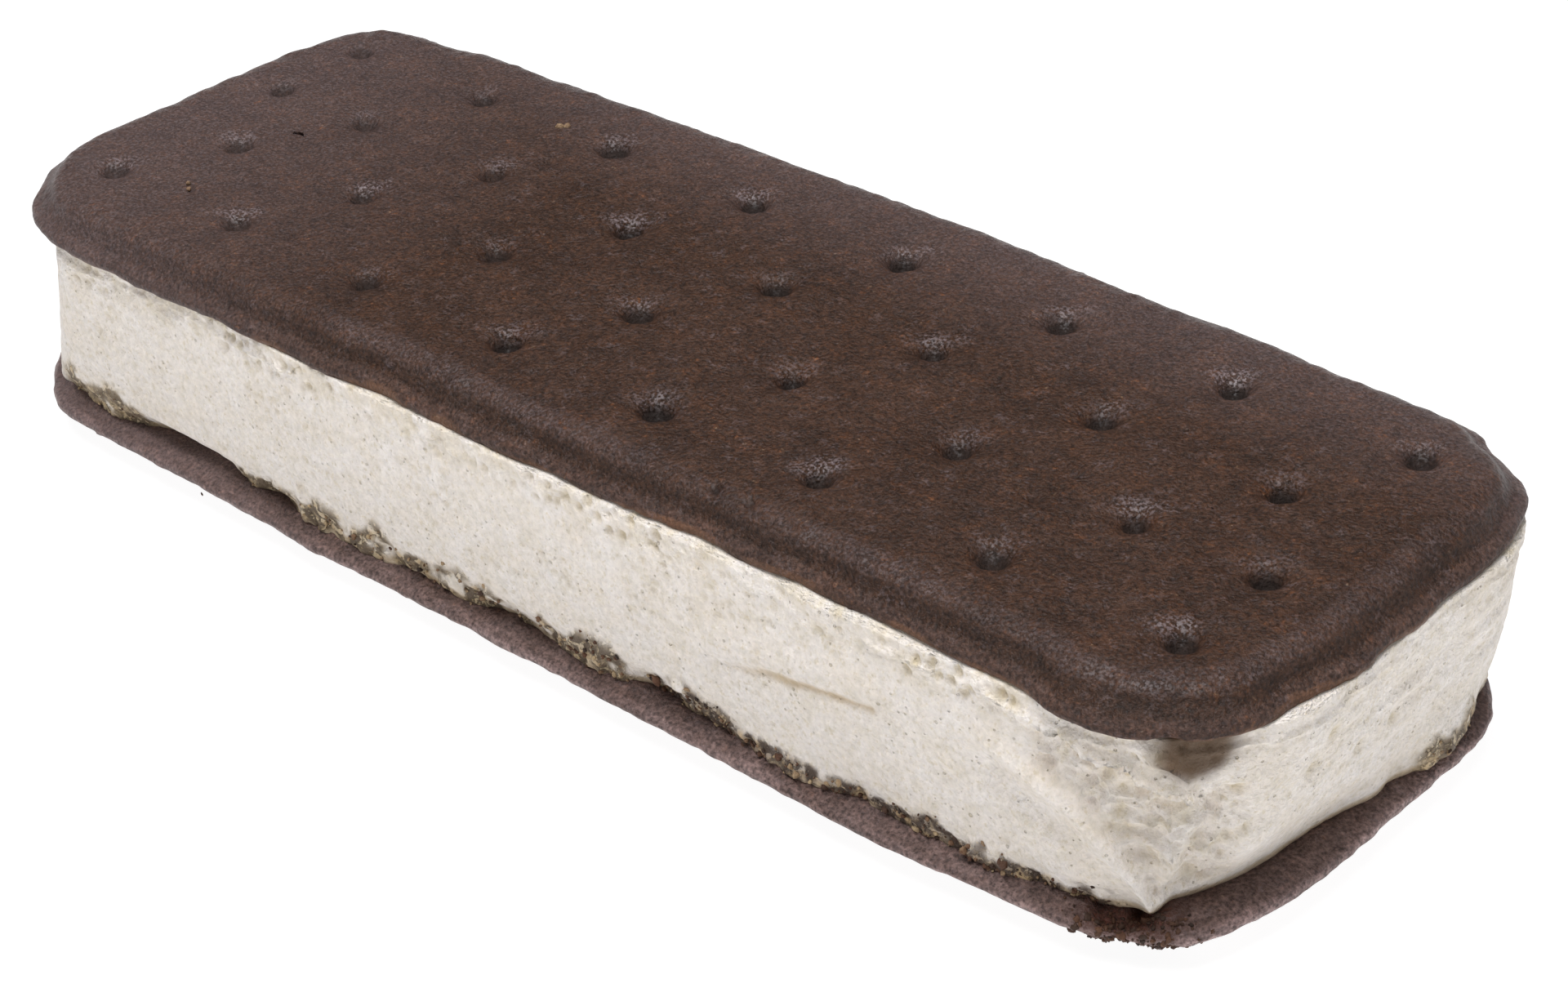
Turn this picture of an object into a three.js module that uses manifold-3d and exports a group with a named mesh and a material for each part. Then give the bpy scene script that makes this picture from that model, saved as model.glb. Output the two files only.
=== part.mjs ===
// Ice cream sandwich: a slab of vanilla ice cream between two soft chocolate wafers.
// Units are millimetres. X runs along the sandwich, Y across it (front is -Y) and Z up.
// The origin is on the table, under the middle of the sandwich.
import * as THREE from "three";
import { mergeVertices } from "three/addons/utils/BufferGeometryUtils.js";
import { ImprovedNoise } from "three/addons/math/ImprovedNoise.js";
import Module from "manifold-3d";

// Overall sizes.
const WAFER_LENGTH = 121;
const WAFER_WIDTH = 43.4;
const WAFER_THICKNESS = 3.4;
const FILLING_HEIGHT = 13.6;
const JOIN_GAP = 0.3; // between the ice cream and each wafer
const WAFER_SLIP = 0.9; // the top wafer has slid this far to +X, the bottom one to -X

// Outline of a wafer: a rounded rectangle whose long edges bow outwards.
const BACK_BOW = 1.9;
const FRONT_BOW = 0.9;
const CORNER_RADIUS = 11.5;

// Rim of a wafer: its outer face rolls over to a steep side that tucks in at the ice cream.
const RIM_REACH = 4.2; // how far in from the edge the face starts to fall
const RIM_DROP = 2.4; // how far it has fallen at the edge
const TUCK_INSET = 0.9;
const TUCK_HEIGHT = 0.5;
const EDGE_WANDER = 0.15; // the rim is this uneven, in and out
const TUCK_WANDER = 0.3; // the lower edge is this uneven, up and down

// Nicks and worn stretches of the top wafer's edge: where, how wide and how deep.
const TOP_NICKS = [
  { x: -48.5, y: 19.5, reach: 2.6, depth: 0.6 },
  { x: -58, y: 12.5, reach: 2.8, depth: 0.5 },
  { x: -60.5, y: 6, reach: 9, depth: 0.9 },
  { x: 53.5, y: 18, reach: 2.4, depth: 0.5 },
];

// Docking holes: two outer rows of evenly spaced holes and two inner ones set half a step aside.
const HOLE_PITCH = 14.8;
const OUTER_ROW = 12.9; // distance of an outer row from the middle line of the rows
const INNER_ROW = 4.3;
const INNER_ROW_START = 47.1; // the inner row's seven even holes start this far from the middle
const ODD_HOLE = 51.8; // the eighth, out of step, hole of an inner row
const HOLE_DEPTH = 2.2;
const HOLE_RADIUS = 0.85;
const MOUTH_RADIUS = 1.7;

// How far the ice cream's side stands back from the wafers' edges, at its foot, half way up and at
// its top. The rows go round the sandwich from the +X end by eighths of a turn.
const SETBACK = [
  [1.5, 0.5, 0.4],
  [0.5, 0.2, 0.4],
  [0.7, 0.4, 0.6],
  [0.9, 0.9, 1.6],
  [1, 1.4, 1.9],
  [0.9, 1.7, 2.8],
  [0.7, 0.2, 0.5],
  [1, -0.3, 0.3],
];

// Hollows in the ice cream's side: the torn near corner, and a scoop over the foot beside it.
const HOLLOWS = [
  { x: 58, y: -18, z: 13, reach: 5, depth: 0.9 },
  { x: 59, y: -10, z: 3.7, reach: 6, depth: 1.1 },
];
const LUMP_SIZE = 11; // the side's broad swells and its finer crags
const LUMP_HEIGHT = 0.35;
const CRAG_SIZE = 3.6;
const CRAG_HEIGHT = 0.3;
const CRUST_BAND = 0.28; // share of the height, from the foot, that the crumbly crust covers

// Number of points round each solid.
const WAFER_COUNT = 108;
const FILLING_COUNT = 132;
const HOLE_SIDES = 10;
const SIDE_ROWS = 16; // rows of faces up the ice cream's side, closer together at its foot and top

const HALF_LENGTH = WAFER_LENGTH / 2;
const HALF_WIDTH = (WAFER_WIDTH - BACK_BOW - FRONT_BOW) / 2; // at the ends, without the bows
const MIDDLE_Y = (FRONT_BOW - BACK_BOW) / 2; // middle line of the hole rows
const FILLING_BASE = WAFER_THICKNESS + JOIN_GAP;
const TOP_WAFER_BASE = FILLING_BASE + FILLING_HEIGHT + JOIN_GAP;

const wasm = await Module();
wasm.setup();
const noise = new ImprovedNoise();

/** Evenly spaced points round a wafer's edge, counter-clockwise, each with its outward normal. */
function edgePoints(count) {
  const quarter = Math.PI / 2;
  const path = new THREE.Path();
  path.moveTo(HALF_LENGTH, 0);
  const corners = [
    [1, 1],
    [-1, 1],
    [-1, -1],
    [1, -1],
  ];
  corners.forEach(([sideX, sideY], turn) => {
    const x = sideX * (HALF_LENGTH - CORNER_RADIUS);
    const y = sideY * (HALF_WIDTH - CORNER_RADIUS);
    path.absarc(x, y, CORNER_RADIUS, turn * quarter, (turn + 1) * quarter, false);
  });
  path.lineTo(HALF_LENGTH, 0);
  const points = path.getSpacedPoints(count).slice(0, count).map(bowed);
  return points.map((point, i) => {
    const next = points[(i + 1) % count];
    const before = points[(i + count - 1) % count];
    const normal = new THREE.Vector2(next.y - before.y, before.x - next.x).normalize();
    return { x: point.x, y: point.y, nx: normal.x, ny: normal.y };
  });
}

/** Moves a point of the straight-sided outline out to the bowed long edges. */
function bowed(point) {
  const bow = point.y > 0 ? BACK_BOW : FRONT_BOW;
  const swell = 1 + (bow / HALF_WIDTH) * (1 - (point.x / HALF_LENGTH) ** 2);
  return new THREE.Vector2(point.x, MIDDLE_Y + point.y * swell);
}

/** A closed surface through a stack of rings, bottom to top, with a pole closing each end. */
function loft(rings) {
  const count = rings[0].length;
  const ends = [rings[0], rings[rings.length - 1]];
  const poles = ends.map((ring) =>
    ring.reduce((sum, point) => sum.addScaledVector(point, 1 / count), new THREE.Vector3()),
  );
  const points = [...rings.flat(), ...poles];
  const [lowPole, highPole] = [points.length - 2, points.length - 1];
  const highRing = (rings.length - 1) * count;
  const index = [];
  for (let j = 0; j < count; j++) {
    const k = (j + 1) % count;
    index.push(lowPole, k, j, highPole, highRing + j, highRing + k);
    for (let row = 0; row < highRing; row += count) {
      index.push(row + j, row + k, row + count + k, row + j, row + count + k, row + count + j);
    }
  }
  const geometry = new THREE.BufferGeometry().setFromPoints(points);
  return geometry.setIndex(index);
}

/** The same ring of points, shrunk towards its own centre. */
function shrunk(ring, share) {
  const centre = ring.reduce((sum, p) => sum.addScaledVector(p, 1 / ring.length), new THREE.Vector3());
  return ring.map((point) => centre.clone().lerp(point, share));
}

function toSolid(geometry) {
  const bare = geometry.clone();
  bare.deleteAttribute("normal");
  bare.deleteAttribute("uv");
  const merged = mergeVertices(bare, 1e-4);
  return new wasm.Manifold(
    new wasm.Mesh({
      numProp: 3,
      vertProperties: merged.attributes.position.array,
      triVerts: new Uint32Array(merged.index.array),
    }),
  );
}

function toGeometry(solid) {
  const mesh = solid.getMesh();
  const geometry = new THREE.BufferGeometry();
  geometry.setAttribute("position", new THREE.BufferAttribute(mesh.vertProperties, 3));
  geometry.setIndex(new THREE.BufferAttribute(mesh.triVerts, 1));
  geometry.computeVertexNormals();
  return geometry;
}

/** Places of the docking holes on a wafer, about the wafer's own middle. */
function holePlaces() {
  const places = [];
  for (const side of [1, -1]) {
    for (let k = 0; k < 8; k++) {
      places.push([(k - 3.5) * HOLE_PITCH, side * OUTER_ROW]);
      const inner = k < 7 ? INNER_ROW_START - k * HOLE_PITCH : -ODD_HOLE;
      places.push([side * inner, side * INNER_ROW]);
    }
  }
  return places;
}

/** A funnel-mouthed round cutter, pointing down from the plane z = 0. */
function holeCutter() {
  const profile = [
    [0, -HOLE_DEPTH],
    [HOLE_RADIUS * 0.8, -HOLE_DEPTH],
    [HOLE_RADIUS, -HOLE_DEPTH / 2],
    [MOUTH_RADIUS, 0],
    [MOUTH_RADIUS, 1],
    [0, 1],
  ].map(([radius, height]) => new THREE.Vector2(radius, height));
  return new THREE.LatheGeometry(profile, HOLE_SIDES).rotateX(Math.PI / 2);
}

/**
 * A wafer lying with its outer face up and its inner face at z = 0. Its rim rolls over on a quarter
 * of an ellipse, and its edge wanders a little and is nicked.
 */
function waferSolid(nicks) {
  const edge = edgePoints(WAFER_COUNT);
  const ringAt = (inset, heightAt) =>
    edge.map(({ x, y, nx, ny }) => {
      const shift = inset + EDGE_WANDER * noise.noise(x / 9, y / 9, 2.5) + dentDepth(nicks, x, y);
      return new THREE.Vector3(x - nx * shift, y - ny * shift, heightAt(x, y));
    });
  const rim = [90, 72, 54, 36, 18, 0].map((degrees) => {
    const angle = THREE.MathUtils.degToRad(degrees);
    const height = WAFER_THICKNESS - RIM_DROP * (1 - Math.cos(angle));
    return ringAt(RIM_REACH * (1 - Math.sin(angle)), () => height);
  });
  const foot = ringAt(TUCK_INSET, () => 0);
  const tuck = ringAt(TUCK_INSET / 4, (x, y) => TUCK_HEIGHT + TUCK_WANDER * noise.noise(x / 8, y / 8, 9.5));
  const face = rim[rim.length - 1];
  let solid = toSolid(loft([shrunk(foot, 0.5), foot, tuck, ...rim, shrunk(face, 0.5)]));
  const cutter = holeCutter();
  for (const [x, y] of holePlaces()) {
    const placed = cutter.clone().translate(x, MIDDLE_Y + y, WAFER_THICKNESS);
    solid = solid.subtract(toSolid(placed));
  }
  return solid;
}

/** How deep a list of dents cuts in at a point: each dent fades out over its own reach. */
function dentDepth(dents, x, y, z = 0) {
  return dents.reduce((sum, dent) => {
    const away = Math.hypot(x - dent.x, y - dent.y, z - (dent.z ?? 0)) / dent.reach;
    return sum + dent.depth * Math.exp(-away * away);
  }, 0);
}

/** The setback towards a direction, on a parabola through its foot, middle and top values. */
function setback(direction, share) {
  const eighths = (direction / (Math.PI / 4) + SETBACK.length) % SETBACK.length;
  const row = Math.floor(eighths);
  const blend = THREE.MathUtils.smoothstep(eighths, row, row + 1);
  const [foot, middle, top] = [0, 1, 2].map((level) =>
    THREE.MathUtils.lerp(SETBACK[row][level], SETBACK[(row + 1) % SETBACK.length][level], blend),
  );
  const sag = 2 * foot - 4 * middle + 2 * top;
  return foot + (top - foot - sag) * share + sag * share * share;
}

/** Relief of the ice cream's side: broad swells, and crags that grow towards the crumbly foot. */
function relief(x, y, height) {
  const share = (height - FILLING_BASE) / FILLING_HEIGHT;
  const crust = 1 - THREE.MathUtils.smoothstep(share, 0, CRUST_BAND);
  const lump = LUMP_HEIGHT * noise.noise(x / LUMP_SIZE, y / LUMP_SIZE, height / LUMP_SIZE);
  const crag = CRAG_HEIGHT * noise.noise(x / CRAG_SIZE, y / CRAG_SIZE, height / CRAG_SIZE);
  return lump + crag * (0.6 + crust);
}

/** The ice cream: a slab whose sides lean from the bottom wafer's edge to the top one's. */
function fillingSolid() {
  const edge = edgePoints(FILLING_COUNT);
  const rings = Array.from({ length: SIDE_ROWS + 1 }, (_, row) => {
    const share = (1 - Math.cos((row / SIDE_ROWS) * Math.PI)) / 2;
    const slip = WAFER_SLIP * (2 * share - 1);
    const height = FILLING_BASE + share * FILLING_HEIGHT;
    return edge.map(({ x, y, nx, ny }) => {
      const hollow = dentDepth(HOLLOWS, x, y, height);
      const inset = setback(Math.atan2(ny, nx), share) + hollow + relief(x, y, height);
      return new THREE.Vector3(x + slip - nx * inset, y - ny * inset, height);
    });
  });
  return toSolid(loft([shrunk(rings[0], 0.5), ...rings, shrunk(rings[rings.length - 1], 0.5)]));
}

const chocolate = { color: 0x46372f, roughness: 0.75, metalness: 0 };
const vanilla = { color: 0xe6e1cd, roughness: 0.55, metalness: 0 };

function meshOf(name, geometry, finish) {
  const mesh = new THREE.Mesh(geometry, new THREE.MeshStandardMaterial(finish));
  mesh.name = name;
  return mesh;
}

const sandwich = new THREE.Group();

const waferTop = meshOf("wafer_top", toGeometry(waferSolid(TOP_NICKS)), chocolate);
waferTop.position.set(WAFER_SLIP, 0, TOP_WAFER_BASE);
sandwich.add(waferTop);

sandwich.add(meshOf("ice_cream", toGeometry(fillingSolid()), vanilla));

// The bottom wafer is turned over end for end, so that its outer face lies on the table.
const waferBottom = meshOf("wafer_bottom", toGeometry(waferSolid([])), chocolate);
waferBottom.position.set(-WAFER_SLIP, 0, WAFER_THICKNESS);
waferBottom.rotation.y = Math.PI;
sandwich.add(waferBottom);

export default sandwich;
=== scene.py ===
"""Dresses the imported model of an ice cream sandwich.

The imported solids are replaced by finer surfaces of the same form: two soft chocolate wafers with
docking holes, and the slab of vanilla ice cream between them. Crumbs of wafer stick to all three.
Every surface is a stack of closed rings worked out with numpy: a column of the stack goes across
the sandwich and a ring goes round it. Shapes are worked out in millimetres, and the meshes hold
metres. +X runs along the sandwich, its front is -Y, and +Z is up.
"""

import logging
from dataclasses import dataclass
from enum import Enum
from functools import cached_property
from itertools import product

import bpy
import numpy as np
from mathutils import Matrix, Vector


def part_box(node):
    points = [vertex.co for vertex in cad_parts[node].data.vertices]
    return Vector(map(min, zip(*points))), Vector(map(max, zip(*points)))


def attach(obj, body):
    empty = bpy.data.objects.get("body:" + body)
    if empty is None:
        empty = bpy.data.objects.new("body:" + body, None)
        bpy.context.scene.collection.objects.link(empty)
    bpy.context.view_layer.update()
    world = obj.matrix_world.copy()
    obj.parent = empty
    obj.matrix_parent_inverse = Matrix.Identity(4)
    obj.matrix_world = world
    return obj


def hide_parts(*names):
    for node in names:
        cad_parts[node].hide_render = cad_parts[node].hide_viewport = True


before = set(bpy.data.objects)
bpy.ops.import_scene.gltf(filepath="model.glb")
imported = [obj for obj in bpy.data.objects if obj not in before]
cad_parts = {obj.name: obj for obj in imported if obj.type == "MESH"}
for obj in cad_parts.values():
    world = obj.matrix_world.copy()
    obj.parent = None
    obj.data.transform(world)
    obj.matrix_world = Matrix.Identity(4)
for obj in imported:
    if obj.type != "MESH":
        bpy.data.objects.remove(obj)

LOG = logging.getLogger("ice_cream_sandwich")
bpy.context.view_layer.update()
BODY = "root"
MM = 0.001

Pair = tuple[float, float]
Place = tuple[float, float, float]
# Points of a plane, such as (run, height), that a line passes through.
Line = tuple[Pair, ...]
Masks = dict[str, np.ndarray]
Colour = tuple[float, float, float, float]
# Low and high value of an input, and what it is mapped to there.
Span = tuple[float, float, float, float]
Socket = bpy.types.NodeSocket
Material = bpy.types.Material

# Scale that drops Z, for unevenness that is the same at every height.
LEVEL = (1, 1, 0)

# Numbers that stir the bits of a lattice cube's coordinates into one random number.
HASH_STEPS = np.array([73856093, 19349663, 83492791])
HASH_SEED = 2654435
HASH_STIR = 739982445
HASH_MASK = 0xFFFFFFFF

# Y of the sandwich's front.
FRONT_Y = -21.6


def smoothstep(value: np.ndarray, low: float, high: float) -> np.ndarray:
    """A smooth rise from 0 at `low` to 1 at `high`: three t squared less two t cubed."""
    t = np.clip((value - low) / (high - low), 0, 1)
    return t * t * (3 - 2 * t)


def lattice_random(cubes: np.ndarray, seed: int) -> np.ndarray:
    """One number from 0 to 1 for each cube of a lattice, the same on every run.

    Args:
        cubes: whole coordinates, three to a cube, along the last axis.
        seed: gives another set of numbers.

    Returns:
        The numbers. A cube's coordinates are summed with large steps, and the sum is multiplied
        and folded on itself until its bits are mixed.
    """
    bits = (cubes.astype(np.int64) * HASH_STEPS).sum(axis=-1) + seed * HASH_SEED
    bits &= HASH_MASK
    for shift in (15, 13):
        bits = (bits ^ (bits >> shift)) * HASH_STIR & HASH_MASK
    return (bits ^ (bits >> 16)) / HASH_MASK


def smooth_noise(points: np.ndarray, size: float, seed: int) -> np.ndarray:
    """Noise from -1 to 1: random values on a lattice of pitch `size`, blended by a quintic step."""
    scaled = points / size
    cube = np.floor(scaled)
    t = scaled - cube
    t = t * t * t * (t * (6 * t - 15) + 10)
    total = np.zeros(points.shape[:-1])
    for corner in product((0, 1), repeat=3):
        weight = np.where(np.array(corner) == 1, t, 1 - t).prod(axis=-1)
        total += weight * lattice_random(cube + corner, seed)
    return 2 * total - 1


def layered_noise(points: np.ndarray, size: float, seed: int, layers: int) -> np.ndarray:
    """Smooth noise summed over layers, each half as large and half as strong as the one before."""
    layer = (smooth_noise(points, size / 2**k, seed + k) / 2**k for k in range(layers))
    return sum(layer)


def cell_noise(points: np.ndarray, size: float, seed: int) -> np.ndarray:
    """Distance, in cubes of `size`, to the nearest of a set of spots scattered one to a cube."""
    scaled = points / size
    cube = np.floor(scaled)
    nearest = np.full(points.shape[:-1], np.inf)
    for offset in product((-1, 0, 1), repeat=3):
        home = cube + offset
        spot = home + np.stack([lattice_random(home, seed + k) for k in range(3)], axis=-1)
        nearest = np.minimum(nearest, np.linalg.norm(spot - scaled, axis=-1))
    return nearest


def bell(value: np.ndarray, width: float) -> np.ndarray:
    """A bell curve of a width, 1 where the value is 0: e to the minus square of their ratio."""
    return np.exp(-(value / width) ** 2)


def follow(line: Line, run: np.ndarray, spread: float = 0.0) -> np.ndarray:
    """Second coordinate of a line at each run, as the mean of three reads a spread apart."""
    if not spread:
        return np.interp(run, *np.array(line).T)
    return sum(np.interp(run + shift, *np.array(line).T) for shift in (-spread, 0, spread)) / 3


def line_distance(across: np.ndarray, up: np.ndarray, line: Line) -> np.ndarray:
    """Distance of points of a plane from a line through a few (across, up) points.

    Args:
        across: first coordinate of each point.
        up: second one.
        line: the line.

    Returns:
        The distance of each point.
    """
    best = np.full(across.shape, np.inf)
    for (x0, z0), (x1, z1) in zip(line, line[1:]):
        run, rise = x1 - x0, z1 - z0
        share = ((across - x0) * run + (up - z0) * rise) / (run * run + rise * rise)
        share = np.clip(share, 0, 1)
        best = np.minimum(best, np.hypot(across - x0 - share * run, up - z0 - share * rise))
    return best


def smooth_path(knots: Line, count: int) -> np.ndarray:
    """Evenly spaced points of a smooth curve through a few knots.

    Args:
        knots: points of the plane that the curve passes through.
        count: how many points to return, with both ends.

    Returns:
        The points. Between two knots the curve is a cubic whose slope at each knot is half the
        step from the knot before it to the one after it.
    """
    known = np.array(knots, dtype=float)
    padded = np.concatenate([[2 * known[0] - known[1]], known, [2 * known[-1] - known[-2]]])
    place = np.linspace(0, len(known) - 1, 40 * len(known))
    piece = np.minimum(place.astype(int), len(known) - 2)
    t = (place - piece)[:, None]
    before, start, end, after = (padded[piece + k] for k in range(4))
    bend = 2 * before - 5 * start + 4 * end - after
    twist = 3 * start - before - 3 * end + after
    curve = start + ((end - before) * t + bend * t * t + twist * t * t * t) / 2
    reach = np.append(0, np.cumsum(np.linalg.norm(np.diff(curve, axis=0), axis=1)))
    even = np.linspace(0, reach[-1], count)
    return np.column_stack([np.interp(even, reach, curve[:, k]) for k in range(2)])


def ring_normals(rings: np.ndarray) -> np.ndarray:
    """Outward normals of a stack of rings that runs from the top outwards and down.

    The normal is the cross product of the step down the stack and the step round the ring.
    """
    round_step = np.roll(rings, -1, axis=1) - np.roll(rings, 1, axis=1)
    down_step = np.gradient(rings, axis=0)
    normals = np.cross(down_step, round_step)
    return normals / np.maximum(np.linalg.norm(normals, axis=-1, keepdims=True), 1e-9)


def stack_faces(rows: int, columns: int) -> list[np.ndarray]:
    """Faces of a stack of rings, closed at both ends by rungs that join facing points of a ring.

    Args:
        rows: number of rings, top to bottom.
        columns: number of points in a ring, which is even.

    Returns:
        An array of four-sided faces and one of triangles, all facing outwards.
    """
    row = np.arange(rows - 1)[:, None] * columns
    here = np.arange(columns)[None, :]
    beside = (here + 1) % columns
    walls = np.stack([row + here, row + columns + here, row + columns + beside, row + beside], -1)
    rung = np.arange(1, columns // 2 - 1)
    rungs = np.stack([rung, rung + 1, columns - rung - 1, columns - rung], axis=-1)
    half = columns // 2
    tips = np.array([[0, 1, columns - 1], [half - 1, half, half + 1]])
    last = (rows - 1) * columns
    quads = np.concatenate([walls.reshape(-1, 4), rungs, last + rungs[:, ::-1]])
    return [quads, np.concatenate([tips, last + tips[:, ::-1]])]


def make_object(name: str, points: np.ndarray, faces: list[np.ndarray]) -> bpy.types.Object:
    """A smooth-shaded object at the origin.

    Args:
        name: the piece's name.
        points: its vertices in millimetres, three numbers along the last axis.
        faces: arrays of faces, one for each number of corners.

    Returns:
        The object, linked to the scene.
    """
    mesh = bpy.data.meshes.new(name)
    polygons = [face for group in faces for face in group.tolist()]
    mesh.from_pydata((points.reshape(-1, 3) * MM).tolist(), [], polygons)
    mesh.shade_smooth()
    made = bpy.data.objects.new(name, mesh)
    bpy.context.scene.collection.objects.link(made)
    return made


def paint(piece: bpy.types.Object, masks: Masks) -> None:
    """Stores each mask as a float attribute of the piece's vertices, for its material to read."""
    for name, values in masks.items():
        layer = piece.data.attributes.new(name, "FLOAT", "POINT")
        layer.data.foreach_set("value", np.clip(values, 0, 1).astype(np.float32).ravel())


def settle(piece: bpy.types.Object, slot: str, material: Material, *nodes: str) -> None:
    """Gives a piece its material, ties it to the body, and hides the nodes it stands for.

    Args:
        piece: the piece.
        slot: not used.
        material: its material.
        nodes: the CAD nodes that it replaces.
    """
    piece.data.materials.append(material)
    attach(piece, BODY)
    if nodes:
        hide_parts(*nodes)
    LOG.info("%s: %d faces", piece.name, len(piece.data.polygons))


@dataclass(frozen=True)
class Ramp:
    """A smooth rise between two heights, runs or other values."""

    low: float
    high: float

    def up(self, value: np.ndarray) -> np.ndarray:
        """0 before the ramp and 1 past it."""
        return smoothstep(value, self.low, self.high)

    def down(self, value: np.ndarray) -> np.ndarray:
        """1 before the ramp and 0 past it."""
        return 1 - smoothstep(value, self.low, self.high)


@dataclass(frozen=True)
class Lumps:
    """Unevenness of one kind: layered noise.

    Attributes:
        height: how far it moves what it acts on, in millimetres.
        size: width of its largest lumps.
        seed: sets where they lie.
        layers: number of layers, each finer than the one before.
        stretch: scale of X, Y and Z before the noise, under 1 to draw the lumps out.
    """

    height: float
    size: float
    seed: int
    layers: int = 1
    stretch: Place = (1, 1, 1)

    def at(self, points: np.ndarray, seed: int = 0) -> np.ndarray:
        """The unevenness at each point, with a seed that is added to its own."""
        noise = layered_noise(points * self.stretch, self.size, self.seed + seed, self.layers)
        return self.height * noise


@dataclass(frozen=True)
class Patches:
    """Soft-edged patches: 0 where layered noise is under `low`, and 1 where it is over `high`."""

    size: float
    seed: int
    low: float
    high: float
    layers: int = 1
    stretch: Place = (1, 1, 1)

    def at(self, points: np.ndarray, seed: int = 0, lower: float | np.ndarray = 0) -> np.ndarray:
        """The patches at each point.

        Args:
            points: the points, in millimetres.
            seed: added to their own seed.
            lower: how much lower than `low` they start.
        """
        noise = layered_noise(points * self.stretch, self.size, self.seed + seed, self.layers)
        return smoothstep(noise, self.low - lower, self.high)


@dataclass(frozen=True)
class Spots:
    """Small round hollows, each about the middle of a cell of its own.

    Attributes:
        depth: how deep they are, in millimetres.
        size: width of a cell.
        seed: sets where they lie.
        fade: distance from the middle, in cells, over which a hollow ends.
        stretch: scale of X, Y and Z before the cells are made.
    """

    depth: float
    size: float
    seed: int
    fade: Ramp
    stretch: Place = (1, 1, 1)

    def at(self, points: np.ndarray) -> np.ndarray:
        """1 in a hollow and 0 between them."""
        return self.fade.down(cell_noise(points * self.stretch, self.size, self.seed))


@dataclass(frozen=True)
class Outline:
    """A wafer's edge: a rounded rectangle whose long sides bow out.

    Attributes:
        half_length: from the middle to either end.
        half_width: from the middle line to either side, at the ends.
        corner: radius of the corners.
        back_bow: how far the back side bows out.
        front_bow: how far the front side bows out.
    """

    half_length: float
    half_width: float
    corner: float = 11.5
    back_bow: float = 1.9
    front_bow: float = 0.9

    @property
    def middle(self) -> float:
        """Y of the middle line, which the bows move off the middle of the box."""
        return (self.front_bow - self.back_bow) / 2

    @classmethod
    def of_node(cls, node: str) -> "Outline":
        """The outline that fills a CAD node's box."""
        low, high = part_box(node)
        bows = (cls.back_bow + cls.front_bow) * MM
        return cls((high.x - low.x) / 2 / MM, (high.y - low.y - bows) / 2 / MM)

    def points(self, count: int) -> tuple[np.ndarray, np.ndarray]:
        """Evenly spaced points from the middle of the +X end, and their outward normals.

        Four quarter circles are joined by straight lines, the path is cut into equal lengths, and
        each point then moves out by its side's bow, a parabola along X.

        Args:
            count: number of points.

        Returns:
            Points and normals, each with an (x, y) for every point.
        """
        turns = np.linspace(0, np.pi / 2, 40)
        path = [[self.half_length, 0]]
        for quarter, (side_x, side_y) in enumerate(((1, 1), (-1, 1), (-1, -1), (1, -1))):
            turn = turns + quarter * np.pi / 2
            centre_x = side_x * (self.half_length - self.corner)
            centre_y = side_y * (self.half_width - self.corner)
            arc_x = centre_x + self.corner * np.cos(turn)
            arc_y = centre_y + self.corner * np.sin(turn)
            path.extend(np.column_stack([arc_x, arc_y]).tolist())
        path = np.array(path + path[:1])
        reach = np.append(0, np.cumsum(np.linalg.norm(np.diff(path, axis=0), axis=1)))
        even = np.linspace(0, reach[-1], count, endpoint=False)
        x, y = (np.interp(even, reach, path[:, axis]) for axis in range(2))
        bow = np.where(y > 0, self.back_bow, self.front_bow) / self.half_width
        y = self.middle + y * (1 + bow * (1 - (x / self.half_length) ** 2))
        points = np.column_stack([x, y])
        step = np.roll(points, -1, axis=0) - np.roll(points, 1, axis=0)
        normals = np.column_stack([step[:, 1], -step[:, 0]])
        return points, normals / np.linalg.norm(normals, axis=1, keepdims=True)


def run_along(points: np.ndarray) -> np.ndarray:
    """How far along the front and round to the +X end points of an outline are.

    It is X on the front, and goes on from there: X and Y together, less the front's Y.
    """
    return points[..., 0] + points[..., 1] - FRONT_Y


class WaferSide(Enum):
    """Which wafer it is: the top one has slid to +X, the bottom one lies turned end for end."""

    TOP = 1
    BOTTOM = -1


@dataclass(frozen=True)
class Dent:
    """A dent that fades out over its reach, on the edge or on the ice cream's side."""

    x: float
    y: float
    reach: float
    depth: float
    z: float = 0.0

    def cut(self, points: np.ndarray) -> np.ndarray:
        """Depth of the dent at each point: a bell curve of its distance."""
        return self.depth * bell(np.linalg.norm(points - (self.x, self.y, self.z), axis=-1), self.reach)

    @staticmethod
    def total(dents: tuple["Dent", ...], points: np.ndarray) -> np.ndarray:
        """Depth of a set of dents at each point."""
        return sum((dent.cut(points) for dent in dents), np.zeros(points.shape[:-1]))


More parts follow.
